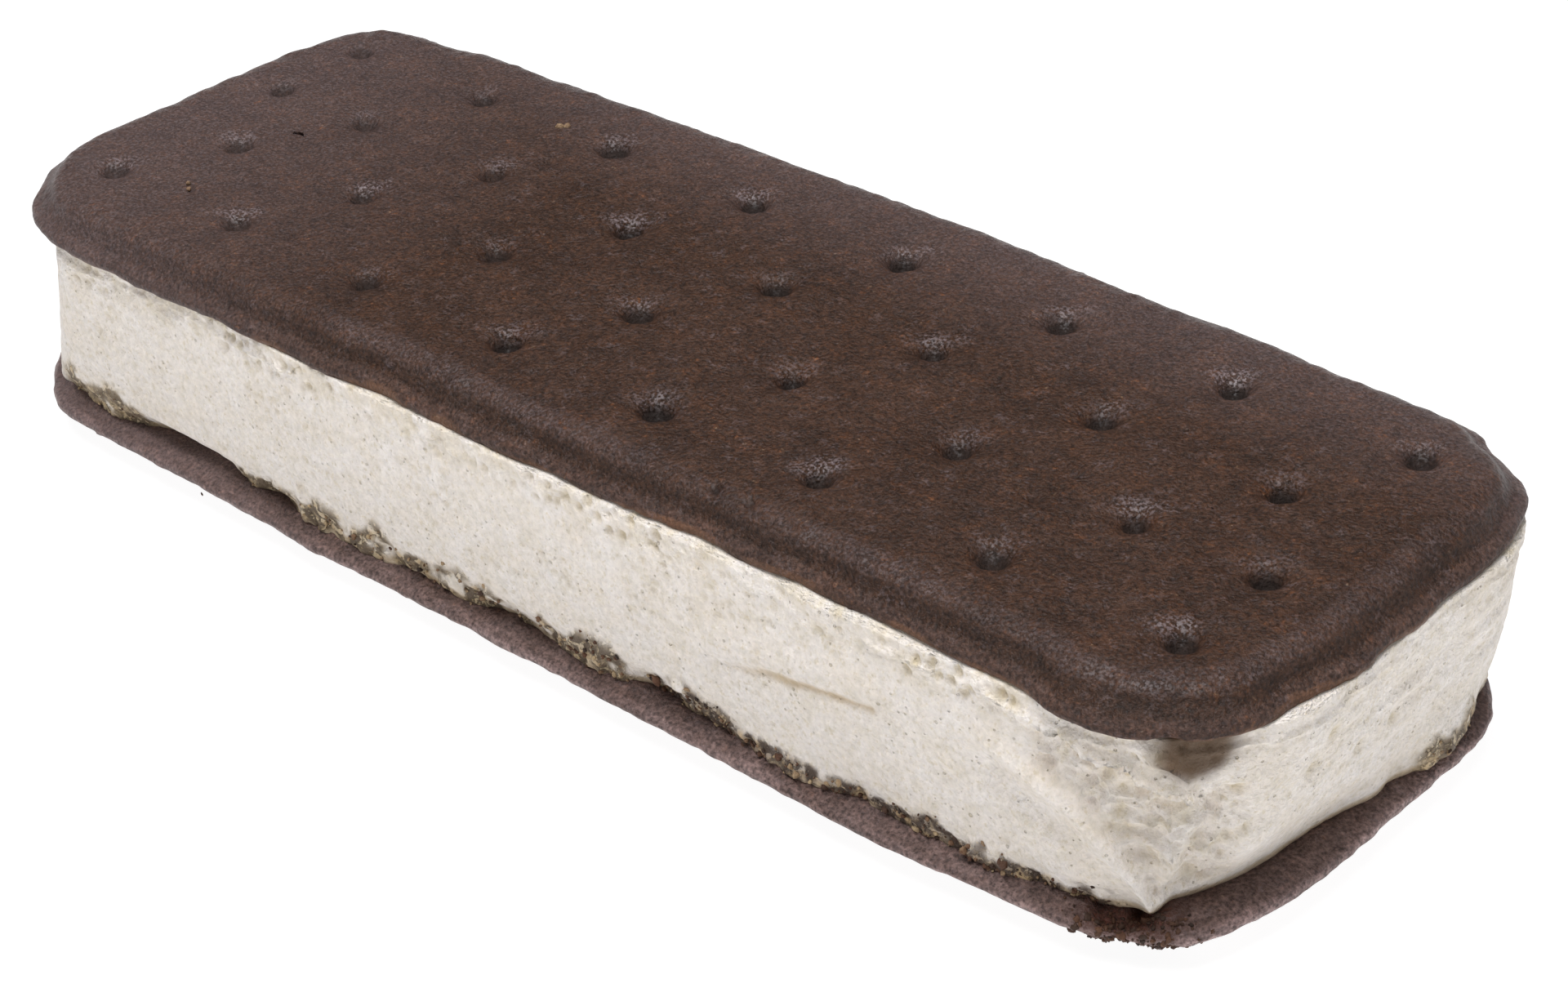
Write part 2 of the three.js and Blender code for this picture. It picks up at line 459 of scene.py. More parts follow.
@dataclass(frozen=True)
class DockingHoles:
    """Rows of holes pressed into a wafer's outer face: soft round pits with painted shade, in shallow
    dishes.

    Attributes:
        pitch: step from hole to hole in a row.
        outer_row: Y of the outer rows, which have one even step.
        inner_row: Y of the inner rows, from `inner_start` to the one hole out of step.
        slant: how far the pits lean along `front`, away from which the sheen lies.
        pull: how far the grid is drawn in towards a hole.
        least: smallest size, depth, sideways shift of the sheen and strength of the sheen.
        most: largest ones.
        far_end: the X over which the holes gain their full depth, from a share of `far_depth`.
        sheen_size: half width and half depth of the sheen, `sheen_back` behind the middle.
        crinkle: height of the crinkles in it.
    """

    pitch: float = 14.8
    outer_row: float = 12.9
    inner_row: float = 4.3
    outer_count: int = 8
    inner_start: float = 47.1
    inner_count: int = 7
    odd_hole: float = 51.8
    depth: float = 1.45
    pit_radius: float = 1.65
    dish_depth: float = 0.22
    dish_radius: float = 3.2
    slant: float = 0.25
    front: Pair = (0.6, -0.8)
    pull: float = 0.62
    pull_reach: float = 4.2
    wobble: Lumps = Lumps(0.14, 2.2, 0)
    least: tuple[float, ...] = (0.9, 0.85, -0.5, 0.3)
    most: tuple[float, ...] = (1.12, 1.1, 0.9, 1.1)
    far_end: Ramp = Ramp(-46, -8)
    far_depth: float = 0.6
    dark_wall: Ramp = Ramp(0.1, 0.62)
    sheen_size: Pair = (2.4, 1.2)
    sheen_back: float = 1.8
    sheen_fade: Ramp = Ramp(0.2, 1.25)
    sheen_ragged: float = 0.3
    crinkle: float = 0.12
    crinkles: Lumps = Lumps(1, 1.1, 1, 2)

    def places(self) -> np.ndarray:
        """Centres about the wafer's own middle: even outer rows, and inner ones half a step off."""
        outer = (np.arange(self.outer_count) - (self.outer_count - 1) / 2) * self.pitch
        inner = self.inner_start - np.arange(self.inner_count) * self.pitch
        inner = np.append(inner, -self.odd_hole)
        rows = [(side * x, side * y) for side in (1, -1)
                for row, y in ((outer, self.outer_row), (inner, self.inner_row)) for x in row]
        return np.array(rows)

    def gather(self, points: np.ndarray, centres: np.ndarray) -> np.ndarray:
        """Draws the grid in towards each hole, so that its wall has more points.

        A point's distance r from the centre falls by a half wave of sine that ends at the reach.

        Args:
            points: points of the face.
            centres: places of the holes.

        Returns:
            The moved points.
        """
        moved = points.copy()
        for centre in centres:
            away = points[..., :2] - centre
            distance = np.linalg.norm(away, axis=-1, keepdims=True)
            wave = np.sin(np.pi * np.clip(distance / self.pull_reach, 0, 1))
            moved[..., :2] -= self.pull * wave * away / np.maximum(distance, 1e-6)
        return moved

    def press(self, points: np.ndarray, centres: np.ndarray, seed: int) -> Masks:
        """How the holes shape and mark the face.

        Args:
            points: points of the face, in millimetres.
            centres: places of the holes on it.
            seed: sets how each hole differs from the next.

        Returns:
            "depth" at each point, "hollow", which is 1 in a pit, where shade is painted, and
            "crinkle_and_painted_sheen", the crinkled skin beside a mouth, where the pin left it, with
            painted sheen.
        """
        rng = np.random.default_rng(seed)
        wobble, crinkles = self.wobble.at(points, seed), self.crinkles.at(points, seed)
        turned = (-self.front[1], self.front[0])
        depth, hollow, crinkle_and_painted_sheen = (np.zeros(points.shape[:-1]) for _ in range(3))
        for x, y in centres:
            size, deep, aside, sheen = rng.uniform(self.least, self.most)
            deep *= self.far_depth + (1 - self.far_depth) * self.far_end.up(x)
            away = points[..., :2] - (x, y)
            forward, sideways = away @ self.front, away @ turned
            radius = (np.linalg.norm(away, axis=-1) + self.slant * forward) / size + wobble
            dish = 1 - smoothstep(radius, self.pit_radius / 2, self.dish_radius)
            pit = 1 - smoothstep(radius, 0, self.pit_radius)
            depth += deep * (self.dish_depth * dish + (self.depth - self.dish_depth) * pit)
            # Painted shade: the pit darkens down its wall.
            hollow = np.maximum(hollow, self.dark_wall.up(pit) * np.minimum(deep, 1))
            wide, long = self.sheen_size
            beyond = np.hypot((sideways - aside) / wide, (forward + self.sheen_back) / long)
            beyond += self.sheen_ragged * crinkles
            # Painted sheen: where pale specks go beyond the far side of a mouth, over its crinkles.
            crinkle_and_painted_sheen = np.maximum(crinkle_and_painted_sheen, sheen * self.sheen_fade.down(beyond))
        depth += self.crinkle * crinkle_and_painted_sheen * crinkles * (1 - hollow)
        return {"depth": depth, "hollow": hollow, "crinkle_and_painted_sheen": crinkle_and_painted_sheen}


@dataclass(frozen=True)
class RimTones:
    """Where a wafer's rim is smooth, has painted shade in its groove and a pale painted sheen on its
    lip, or is tan below it.

    Attributes:
        roll_foot: heights over which the smooth roll starts, as `roll_top` is where it ends.
        tan_height: height of the tan line below the top wafer's lip, where its edge isn't drawn in.
        tan_climb: how much higher it is for each millimetre that the edge is drawn in.
        top_lip_painted_sheen: pale painted sheen on the top wafer's lip.
        ledge_painted_sheen: pale painted sheen on the bottom wafer beside the ice cream.
        lip_painted_sheen: what its lip has on top of that.
        lines: fine lines along the lip, a noise that changes from ring to ring by `ring_step`.
        end_painted_sheen: share by which the painted sheen on the lip is stronger at the +X end.
    """

    seed: int
    smooth_places: Patches = Patches(8, 41, -0.5, 0.5, 1, LEVEL)
    least_smooth: float = 0.45
    roll_foot: Ramp = Ramp(2.5, 3.0)
    roll_top: Ramp = Ramp(3.32, 3.4)
    groove_foot: Ramp = Ramp(1.45, 2.0)
    groove_top: Ramp = Ramp(2.3, 3.1)
    tan_places: Patches = Patches(3.0, 39, -0.5, 0.5, 1, LEVEL)
    tan_height: float = 0.65
    tan_climb: float = 0.5
    most_climb: float = 1.5
    tan_line: Ramp = Ramp(0.0, 0.14)
    tan_haze: Ramp = Ramp(0.2, 0.7)
    haze_share: float = 0.45
    top_lip_painted_sheen: float = 0.08
    lip_top: Ramp = Ramp(1.55, 1.8)
    ledge_painted_sheen: float = 0.36
    lip_painted_sheen: float = 0.35
    lip_rise: Ramp = Ramp(0.15, 1.1)
    pale_top: Ramp = Ramp(2.6, 3.2)
    mean_pale: float = 0.9
    clouds: Lumps = Lumps(0.25, 6, 42, 1, LEVEL)
    lines: Lumps = Lumps(0.32, 1.0, 43, 2)
    drawn_out: Place = (0.12, 0.12, 0)
    ring_step: float = 0.5
    end_painted_sheen: float = 0.4
    end_start: Ramp = Ramp(50, 58)
    end_rise: Ramp = Ramp(0.1, 0.6)

    def roll(self, plain: np.ndarray) -> np.ndarray:
        """The smooth roll over the rim, by places more and less smooth; it is glossier and has a
        painted sheen.
        """
        varied = (1 - self.least_smooth) * self.smooth_places.at(plain, self.seed)
        band = self.roll_foot.up(plain[..., 2]) * self.roll_top.down(plain[..., 2])
        return band * (self.least_smooth + varied)

    def top(self, plain: np.ndarray, line: np.ndarray) -> Masks:
        """The top wafer's masks.

        Args:
            plain: points of the plain form.
            line: how far the edge is drawn in, for each column.
        """
        height = plain[..., 2]
        wander = self.tan_places.at(plain, self.seed)
        above = height - self.tan_height - self.tan_climb * np.clip(line, 0, self.most_climb)
        tan = self.tan_line.down(above) * (1 + wander) / 2
        tan = np.maximum(tan, self.haze_share * self.tan_haze.down(above) * wander)
        return {
            "roll": self.roll(plain),
            # Painted shade in the groove between the roll and the lip.
            "groove": self.groove_foot.up(height) * self.groove_top.down(height),
            # Painted sheen, faint, on the top wafer's lip.
            "pale": self.top_lip_painted_sheen * self.lip_top.down(height),
            "tan": tan,
        }

    def bottom(self, plain: np.ndarray) -> Masks:
        """The bottom wafer's masks: a pale painted sheen over its rim, most of all on its lip, with
        lines along it.
        """
        height = plain[..., 2]
        ring = np.arange(len(plain))[:, None, None] * (0, 0, self.ring_step)
        # Painted sheen: pale lilac on the rim, strongest on the lip, streaked by clouds and lines.
        pale = self.ledge_painted_sheen + self.lip_painted_sheen * self.lip_rise.up(height) * self.pale_top.down(height)
        pale *= (self.mean_pale + self.clouds.at(plain, self.seed)
                 + self.lines.at(plain * self.drawn_out + ring, self.seed))
        pale *= 1 + self.end_painted_sheen * self.end_start.up(-plain[..., 0]) * self.end_rise.up(height)
        none = np.zeros(height.shape)
        return {"roll": self.roll(plain), "groove": none, "pale": pale, "tan": none}


@dataclass
class Wafer:
    """A soft chocolate wafer: a flat face with docking holes, and a rim that rolls over and tucks in.

    It is worked out with its outer face up and its inner face at height 0, and then placed.

    Attributes:
        nicks: dents in its edge.
        edge_line: (run, inset) by which the edge stands back along the front and the +X end.
        torn: places where the rim has crumbled.
        pits: pinholes in its face and rim.
        slip: how far it is slid along, the top one forward and the bottom one back.
        profile: section of the rim, as (inset from the outline, height) from the face down over
            the roll, the groove and the lip to the tucked foot.
        roll_follows: share of the edge line that the top wafer's roll leaves out above its lip.
        edge_wander: unevenness of the edge on the hidden sides.
        wrinkles: fine folds that run along the rim, below `lip_top`.
        crease_line: noise whose zero line is a crease, as wide as the noise is small.
        crags: broken crumb where the rim is torn, below `torn_top`.
        pressed: how far the bottom wafer's face is kept over the table.
        spine_share: length of the spine that the face's rings shrink to, beside the outline's.
    """

    side: WaferSide
    nicks: tuple[Dent, ...] = ()
    edge_line: Line = ((0.0, 0.0),)
    torn: tuple[Dent, ...] = ()
    pits: tuple[Dent, ...] = ()
    holes: DockingHoles = DockingHoles()
    slip: float = 0.9
    profile: Line = (
        (4.6, 3.4), (3.6, 3.36), (2.7, 3.2), (2.05, 2.88), (1.66, 2.44), (1.34, 2.03), (1.0, 1.76),
        (0.6, 1.58), (0.25, 1.36), (0.03, 1.05), (0.08, 0.72), (0.36, 0.46), (1.0, 0.25), (1.7, 0.0),
    )
    facing_front: Ramp = Ramp(0.2, 0.7)
    edge_spread: float = 0.7
    roll_follows: float = 0.35
    roll_rise: Ramp = Ramp(1.3, 2.7)
    edge_wander: Lumps = Lumps(0.12, 9, 0, 3)
    swells: tuple[Lumps, ...] = (Lumps(0.15, 13, 20), Lumps(0.11, 4.5, 23, 2))
    grain: Lumps = Lumps(0.06, 1.1, 26, 2)
    wrinkles: Lumps = Lumps(0.09, 1.1, 29, 3, (0.3, 0.3, 1.7))
    lip_top: Ramp = Ramp(1.9, 2.4)
    crease_line: Lumps = Lumps(20, 7, 32)
    crease_places: Patches = Patches(9, 33, 0, 0.4)
    crease_height: float = 0.08
    crags: Lumps = Lumps(0.6, 1.5, 36, 3)
    crag_depth: float = 0.4
    torn_top: Ramp = Ramp(2.7, 3.3)
    dark_pit: Ramp = Ramp(0.08, 0.5)
    pressed: float = 0.1
    spine_share: float = 0.8
    first_share: float = 0.004
    columns: int = 1024
    face_rows: int = 58
    rim_rows: int = 28
    outer_rim_rows: int = 12
    inner_rows: int = 4

    @property
    def node(self) -> str:
        """Name of the CAD node that it stands for."""
        return "wafer_top" if self.side is WaferSide.TOP else "wafer_bottom"

    @property
    def seed(self) -> int:
        """Seed of this wafer's own unevenness."""
        return 11 if self.side is WaferSide.TOP else 71

    def drawn_in(self, edge: np.ndarray, normal: np.ndarray) -> tuple[np.ndarray, np.ndarray]:
        """How far the edge stands back at points of the outline, and where that holds.

        It holds on the front and the +X end. The hidden sides only wander a little.

        Args:
            edge: points of the outline.
            normal: their outward normals.

        Returns:
            The inset of each point, and 1 where it holds and 0 where not.
        """
        facing = self.facing_front.up(self.side.value * normal[:, 0] - normal[:, 1])
        line = follow(self.edge_line, run_along(edge * (self.side.value, 1)), self.edge_spread)
        return line * facing, facing

    def rings(self) -> np.ndarray:
        """The plain form: rings from the face's spine to its rim, round the rim and back under.

        The face's rings shrink from the rim to a spine along the middle line, and each ring of
        the rim is the outline drawn in to a point of the profile.
        """
        outline = Outline.of_node(self.node)
        edge, normal = outline.points(self.columns)
        level = np.column_stack([edge, np.zeros(self.columns)])
        line, facing = self.drawn_in(edge, normal)
        uneven = Dent.total(self.nicks, level) + line
        uneven += self.edge_wander.at(level, self.seed) * (1 - facing)
        path = smooth_path(self.profile, self.rim_rows)
        if self.side is WaferSide.TOP:
            uneven = uneven - self.roll_follows * line * self.roll_rise.up(path[:, 1:])
        inward = normal * (path[:, :1] + uneven)[..., None]
        height = path[:, 1:] * np.ones(self.columns)
        rim = np.concatenate([edge - inward, height[..., None]], axis=-1)
        spine_scale = (self.spine_share, 0, 1)
        spines = [end * spine_scale + (0, outline.middle, 0) for end in (rim[0], rim[-1])]
        shares = np.linspace(self.first_share, 1, self.face_rows + 1)[:-1, None, None]
        face = spines[0] + shares * (rim[0] - spines[0])
        shares = np.linspace(1, self.first_share, self.inner_rows + 1)[1:, None, None]
        inner = spines[1] + shares * (rim[-1] - spines[1])
        return np.concatenate([face, rim, inner])

    def relief(self, plain: np.ndarray, on_face: np.ndarray, hollow: np.ndarray,
               crumbled: np.ndarray) -> np.ndarray:
        """How far the plain form moves out: swells, wrinkles, grain and creases, and broken crumb.

        Args:
            plain: points of the plain form.
            on_face: True on the face.
            hollow: 1 in the holes, which stay smooth.
            crumbled: 1 where the rim is torn.
        """
        swell = sum(lumps.at(plain, self.seed) for lumps in self.swells)
        if self.side is WaferSide.BOTTOM:
            _, facing = self.drawn_in(*Outline.of_node(self.node).points(self.columns))
            swell = swell * (1 - facing * (1 - on_face))
        wrinkles = self.lip_top.down(plain[..., 2]) * self.wrinkles.at(plain, self.seed)
        creases = self.crease_height * bell(self.crease_line.at(plain, self.seed), 1)
        creases *= self.crease_places.at(plain, self.seed)
        crags = crumbled * (self.crags.at(plain, self.seed) - self.crag_depth)
        return swell + (self.grain.at(plain, self.seed) + wrinkles + creases) * (1 - hollow) + crags

    def shape(self) -> tuple[np.ndarray, Masks]:
        """The finished surface in the wafer's own frame, and the masks that its material reads.

        The plain form is moved along its normals by its relief, and down by the holes.
        """
        centres = self.holes.places() + (0, Outline.of_node(self.node).middle)
        plain = self.rings()
        row = np.arange(len(plain))[:, None] * np.ones(self.columns)
        on_face, rim = row < self.face_rows, row < self.face_rows + self.rim_rows
        outer = np.where(row < self.face_rows + self.outer_rim_rows, 1.0, 0.0)
        plain = np.where(outer[..., None] > 0, self.holes.gather(plain, centres), plain)
        marks = self.holes.press(plain, centres, self.seed)
        crumbled = np.clip(Dent.total(self.torn, plain * LEVEL), 0, 1)
        crumbled *= self.torn_top.down(plain[..., 2])
        pits = Dent.total(self.pits, plain)
        relief = (self.relief(plain, on_face, marks["hollow"] * outer, crumbled) - pits) * rim
        if self.side is WaferSide.BOTTOM:
            relief = np.where(on_face, np.minimum(relief - self.pressed, 0), relief)
        surface = plain + ring_normals(plain) * relief[..., None]
        surface[..., 2] -= outer * marks["depth"]
        # Painted shade in the docking holes and the pinholes.
        dark = np.maximum(marks["hollow"], self.dark_pit.up(pits))
        masks = {"hollow": outer * dark, "crinkle_and_painted_sheen": outer * marks["crinkle_and_painted_sheen"], "crumbled": crumbled}
        tones = RimTones(self.seed)
        if self.side is WaferSide.TOP:
            line, _ = self.drawn_in(*Outline.of_node(self.node).points(self.columns))
            masks |= tones.top(plain, line)
        else:
            masks |= tones.bottom(plain)
        masks["pale"], masks["tan"] = masks["pale"] * rim, masks["tan"] * rim
        return surface, masks

    def place(self, points: np.ndarray) -> np.ndarray:
        """Moves points from the wafer's own frame to the sandwich's: the bottom one turns about Y."""
        low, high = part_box(self.node)
        if self.side is WaferSide.TOP:
            return points + (self.slip, 0, low.z / MM)
        turned = points * (-1, 1, -1) + (-self.slip, 0, high.z / MM)
        turned[..., 2] = np.maximum(turned[..., 2], 0)
        return turned

    def build(self, material: Material) -> tuple[np.ndarray, np.ndarray]:
        """Makes the wafer's piece, and returns its surface and where it has crumbled."""
        surface, masks = self.shape()
        placed = self.place(surface)
        piece = make_object(f"{self.node}_baked", placed, stack_faces(*surface.shape[:2]))
        paint(piece, masks)
        settle(piece, "wafer", material, self.node)
        return placed, masks["crumbled"]


@dataclass
class Flank:
    """The ice cream's plain side, ring by ring from its top edge to its foot.

    Attributes:
        points: points of the side, in millimetres.
        outward: level directions out of it.
        run: how far along the front and round to the +X end each column is: its X on the front,
            and on from there by the outline's X and Y together.
        seen: 1 on the front and the +X end, and 0 on the other two sides.
        tuck: how far the foot reaches into the bottom wafer.
        end_start: runs over which the +X end starts.
        olive_spots: olive spots that show where the ice cream is broken.
    """

    points: np.ndarray
    outward: np.ndarray
    run: np.ndarray
    seen: np.ndarray
    tuck: float
    end_start: Ramp = Ramp(64, 69)
    olive_spots: Patches = Patches(1.5, 235, -0.1, 0.8, 2)

    @property
    def z(self) -> np.ndarray:
        """Heights of the points."""
        return self.points[..., 2]

    @cached_property
    def above(self) -> np.ndarray:
        """Heights of the points above the bottom wafer."""
        return self.z - self.z[-1] - self.tuck

    @cached_property
    def end(self) -> np.ndarray:
        """1 on the +X end, which is smoother than the front."""
        return self.end_start.up(self.run) * self.seen

    @cached_property
    def olive(self) -> np.ndarray:
        """The olive spots, from 0 to 1."""
        return self.olive_spots.at(self.points)


@dataclass(frozen=True)
class CrustStretch:
    """A stretch of the ice cream's foot where wafer crumb clings.

    Attributes:
        start: run where it starts.
        end: run where it ends.
        height: how high it climbs above the wafer.
        dark: 0 for tan crumb and 1 for dark chocolate crumb.
        fade: half of the length over which it ends.
    """

    start: float
    end: float
    height: float
    dark: float
    fade: float = 0.8

    def reach(self, run: np.ndarray) -> np.ndarray:
        """1 inside the stretch, falling to 0 at its ends."""
        rise = Ramp(self.start - self.fade, self.start + self.fade)
        fall = Ramp(self.end - self.fade, self.end + self.fade)
        return rise.up(run) * fall.down(run)


@dataclass(frozen=True)
class Crust:
    """The wafer crumb that clings along the ice cream's foot.

    Attributes:
        ragged: unevenness of its upper edge, as a share of its height.
        top: shares of its height over which it ends.
        hidden_places: patches of it on the hidden sides.
        clusters: clusters that its colour comes in, denser where the crumb is dark.
    """

    stretches: tuple[CrustStretch, ...] = (
        CrustStretch(-56, -41, 2.6, 0.2), CrustStretch(-31, -23, 1.9, 0.25),
        CrustStretch(-22.5, -8.5, 2.5, 0.42), CrustStretch(-7.5, 1.5, 2.0, 0.45),
        CrustStretch(3, 12, 2.3, 0.55), CrustStretch(13.5, 22, 2.0, 0.85),
        CrustStretch(22, 54, 1.15, 0.9), CrustStretch(86, 95, 2.0, 0.3),
    )
    ragged: Lumps = Lumps(0.5, 2.4, 301, 3, LEVEL)
    top: Ramp = Ramp(0.6, 1.0)
    hidden_places: Patches = Patches(9, 305, -0.1, 0.25, 1, LEVEL)
    hidden_top: Ramp = Ramp(0.9, 1.5)
    hidden_dark: float = 0.45
    thickness: float = 0.12
    grit: Lumps = Lumps(0.26, 0.95, 225, 2)
    clusters: Patches = Patches(1.5, 238, -0.6, -0.15, 2)
    more_if_dark: float = 0.3

    def band(self, flank: Flank) -> tuple[np.ndarray, np.ndarray]:
        """Where crumb clings, from 0 to 1, and how dark it is there."""
        band, dark = np.zeros(flank.z.shape), np.zeros(flank.z.shape)
        ragged = 1 + self.ragged.at(flank.points)
        for stretch in self.stretches:
            share = flank.above / (stretch.height * ragged)
            climbs = stretch.reach(flank.run) * flank.seen * self.top.down(share)
            dark = np.where(climbs > band, stretch.dark, dark)
            band = np.maximum(band, climbs)
        climbs = self.hidden_top.down(flank.above / ragged) * (1 - flank.seen)
        climbs *= self.hidden_places.at(flank.points)
        dark = np.where(climbs > band, self.hidden_dark, dark)
        return np.maximum(band, climbs), dark

    def clustered(self, flank: Flank, dark: np.ndarray) -> np.ndarray:
        """The clusters that its colour comes in, from 0 to 1."""
        return self.clusters.at(flank.points, lower=self.more_if_dark * dark)


@dataclass(frozen=True)
class Skin:
    """The ice cream's own skin: swells, grain, pores, drag lines on the +X end and a few pocks.

    Attributes:
        smoother: share by which the grain is flatter on the +X end.
        shallower: share by which the pores are shallower there.
        rough_places: where the skin is porous.
        pocks: (run, height) of small stained holes by the near corner and on the +X end.
    """

    swells: tuple[Lumps, ...] = (Lumps(0.2, 11, 201), Lumps(0.09, 3.6, 202, 2))
    grain: Lumps = Lumps(0.045, 1.0, 204, 2)
    smoother: float = 0.4
    drag_lines: Lumps = Lumps(0.12, 1.0, 205, 1, (0.2, 0.2, 1))
    rough_places: Patches = Patches(5, 210, -0.4, 0.6)
    pores: Spots = Spots(0.15, 0.95, 206, Ramp(0.1, 0.4), (0.75, 0.75, 1))
    shallower: float = 0.5
    pore_stain: float = 0.5
    pocks: Line = (
        (66.0, 10.1), (64.6, 13.7), (72.2, 12.7), (77.5, 11.4), (81.1, 11.2), (73.8, 14.8),
        (52.6, 14.5), (54.1, 11.8), (48.9, 16.2),
    )
    pock_edge: Lumps = Lumps(0.2, 0.9, 207, 2)
    pock_radius: float = 0.55
    pock_depth: float = 0.3
    pock_stain: float = 0.9

    def mark(self, flank: Flank) -> tuple[np.ndarray, np.ndarray]:
        """How far the skin moves the side out, and how stained it is."""
        relief = sum(lumps.at(flank.points) for lumps in self.swells)
        relief += self.grain.at(flank.points) * (1 - self.smoother * flank.end)
        relief += self.drag_lines.at(flank.points) * flank.end
        pores = self.pores.at(flank.points) * self.rough_places.at(flank.points)
        relief -= self.pores.depth * pores * (1 - self.shallower * flank.end)
        away = [np.hypot(flank.run - run, flank.z - up) for run, up in self.pocks]
        away = np.min(away, axis=0) + self.pock_edge.at(flank.points)
        pock = bell(away, self.pock_radius) * flank.seen
        relief -= self.pock_depth * pock
        return relief, self.pore_stain * pores + self.pock_stain * pock


@dataclass(frozen=True)
class Crease:
    """A fold in the front, along (run, height) points, with a soft bulge over it and a shade."""

    line: Line = ((20.0, 9.6), (23.5, 10.3), (25.0, 10.8), (29.4, 11.5), (34.2, 12.0))
    wander: Lumps = Lumps(0.12, 1.2, 211)
    depth: float = 0.14
    width: float = 0.35
    bulge: float = 0.3
    bulge_width: float = 1.3
    bulge_up: float = 1.5
    shade_width: float = 0.32
    shade_start: Ramp = Ramp(20, 28)

    def mark(self, flank: Flank) -> tuple[np.ndarray, np.ndarray]:
        """How far it moves the side out, and its shade."""
        fold = line_distance(flank.run, flank.z, self.line) + self.wander.at(flank.points)
        over = line_distance(flank.run, flank.z - self.bulge_up, self.line)
        relief = self.bulge * bell(over, self.bulge_width) - self.depth * bell(fold, self.width)
        shade = bell(fold, self.shade_width) * self.shade_start.up(flank.run)
        return flank.seen * relief, flank.seen * shade


@dataclass(frozen=True)
class TornCorner:
    """The near corner, where a bit of ice cream is torn out between a ridge and a ragged lip.

    Attributes:
        ridge: (run, height) of the ridge that comes down to the corner.
        corner: (run, height) of the corner's ragged upright edge.
        scallop: (run, height) of the lip over the torn place.
        ragged: unevenness of the three lines.
        hollow: depth of the hollow under the ridge.
        over: heights over the ridge over which the torn place starts.
        under: heights under the lip over which it ends.
        curds: noise whose zero line is a fold between curds.
        curd_level: noise at which the curds are neither raised nor sunk.
        beside: height of the curds beside the torn place.
    """

    ridge: Line = (
        (43.8, 13.6), (47.6, 12.2), (50.8, 11.2), (53.3, 9.3), (56.4, 6.6), (58.0, 4.0),
    )
    corner: Line = (
        (57.1, 16.7), (59.4, 15.3), (60.3, 14.3), (58.7, 12.8), (58.6, 11.0), (59.3, 8.7),
        (59.0, 7.0), (58.2, 3.4),
    )
    scallop: Line = (
        (41.0, 17.3), (44.0, 16.5), (47.0, 16.7), (50.0, 16.2), (53.0, 16.0), (56.0, 14.9),
        (60.3, 14.3),
    )
    ragged: Lumps = Lumps(0.45, 1.3, 212, 2)
    ridge_height: float = 0.8
    ridge_width: float = 0.9
    hollow: float = 0.45
    hollow_width: float = 1.5
    hollow_down: float = 2.3
    corner_height: float = 1.0
    corner_width: float = 0.8
    corner_foot: Ramp = Ramp(4.2, 8)
    lip_least: float = 0.3
    lip_more: float = 0.4
    lip_width: float = 0.28
    lip_rise: Ramp = Ramp(45, 50)
    start: Ramp = Ramp(45, 49)
    end: Ramp = Ramp(63.5, 67)
    over: Ramp = Ramp(0.3, 1.4)
    under: Ramp = Ramp(0.0, 0.35)
    curds: Lumps = Lumps(1, 1.7, 214, 4)
    curd_level: float = 0.35
    curd_height: float = 0.9
    depth: float = 0.9
    beside: float = 0.28
    beside_start: Ramp = Ramp(57.5, 60)
    beside_end: Ramp = Ramp(64, 68)
    beside_foot: Ramp = Ramp(4.5, 7)
    stain: float = 0.02
    olive: float = 0.5

    def torn(self, flank: Flank, ragged: np.ndarray) -> np.ndarray:
        """1 on the torn face: over the ridge, under the lip and beside the corner.

        Args:
            flank: the plain side.
            ragged: unevenness of the lines.
        """
        over = flank.z - follow(self.ridge, flank.run)
        under = follow(self.scallop, flank.run) - flank.z - ragged
        along = self.start.up(flank.run) * self.end.down(flank.run)
        return flank.seen * along * self.over.up(over) * self.under.up(under)

    def mark(self, flank: Flank) -> tuple[np.ndarray, np.ndarray]:
        """How far it moves the side out, and how stained it is.

        The ridge and the corner are sharp: they fall off as e to the minus of their distance over
        their width.
        """
        run, z = flank.run, flank.z
        ragged = self.ragged.at(flank.points)
        torn = self.torn(flank, ragged)
        ridge = line_distance(run, z, self.ridge)
        below = line_distance(run, z + self.hollow_down, self.ridge)
        corner = line_distance(run + ragged, z, self.corner)
        lip = line_distance(run, z + ragged, self.scallop)
        relief = self.ridge_height * np.exp(-ridge / self.ridge_width)
        relief -= self.hollow * bell(below, self.hollow_width)
        relief += self.corner_height * np.exp(-corner / self.corner_width) * self.corner_foot.up(z)
        relief += (self.lip_least + self.lip_more * self.lip_rise.up(run)) * bell(lip, self.lip_width)
        curds = self.curd_level - np.abs(self.curds.at(flank.points))
        beside = self.beside_start.up(run) * self.beside_end.down(run) * self.beside_foot.up(z)
        relief += self.beside * beside * (1 - torn) * curds
        relief = flank.seen * relief + torn * (self.curd_height * curds - self.depth)
        return relief, torn * (self.stain + self.olive * flank.olive)


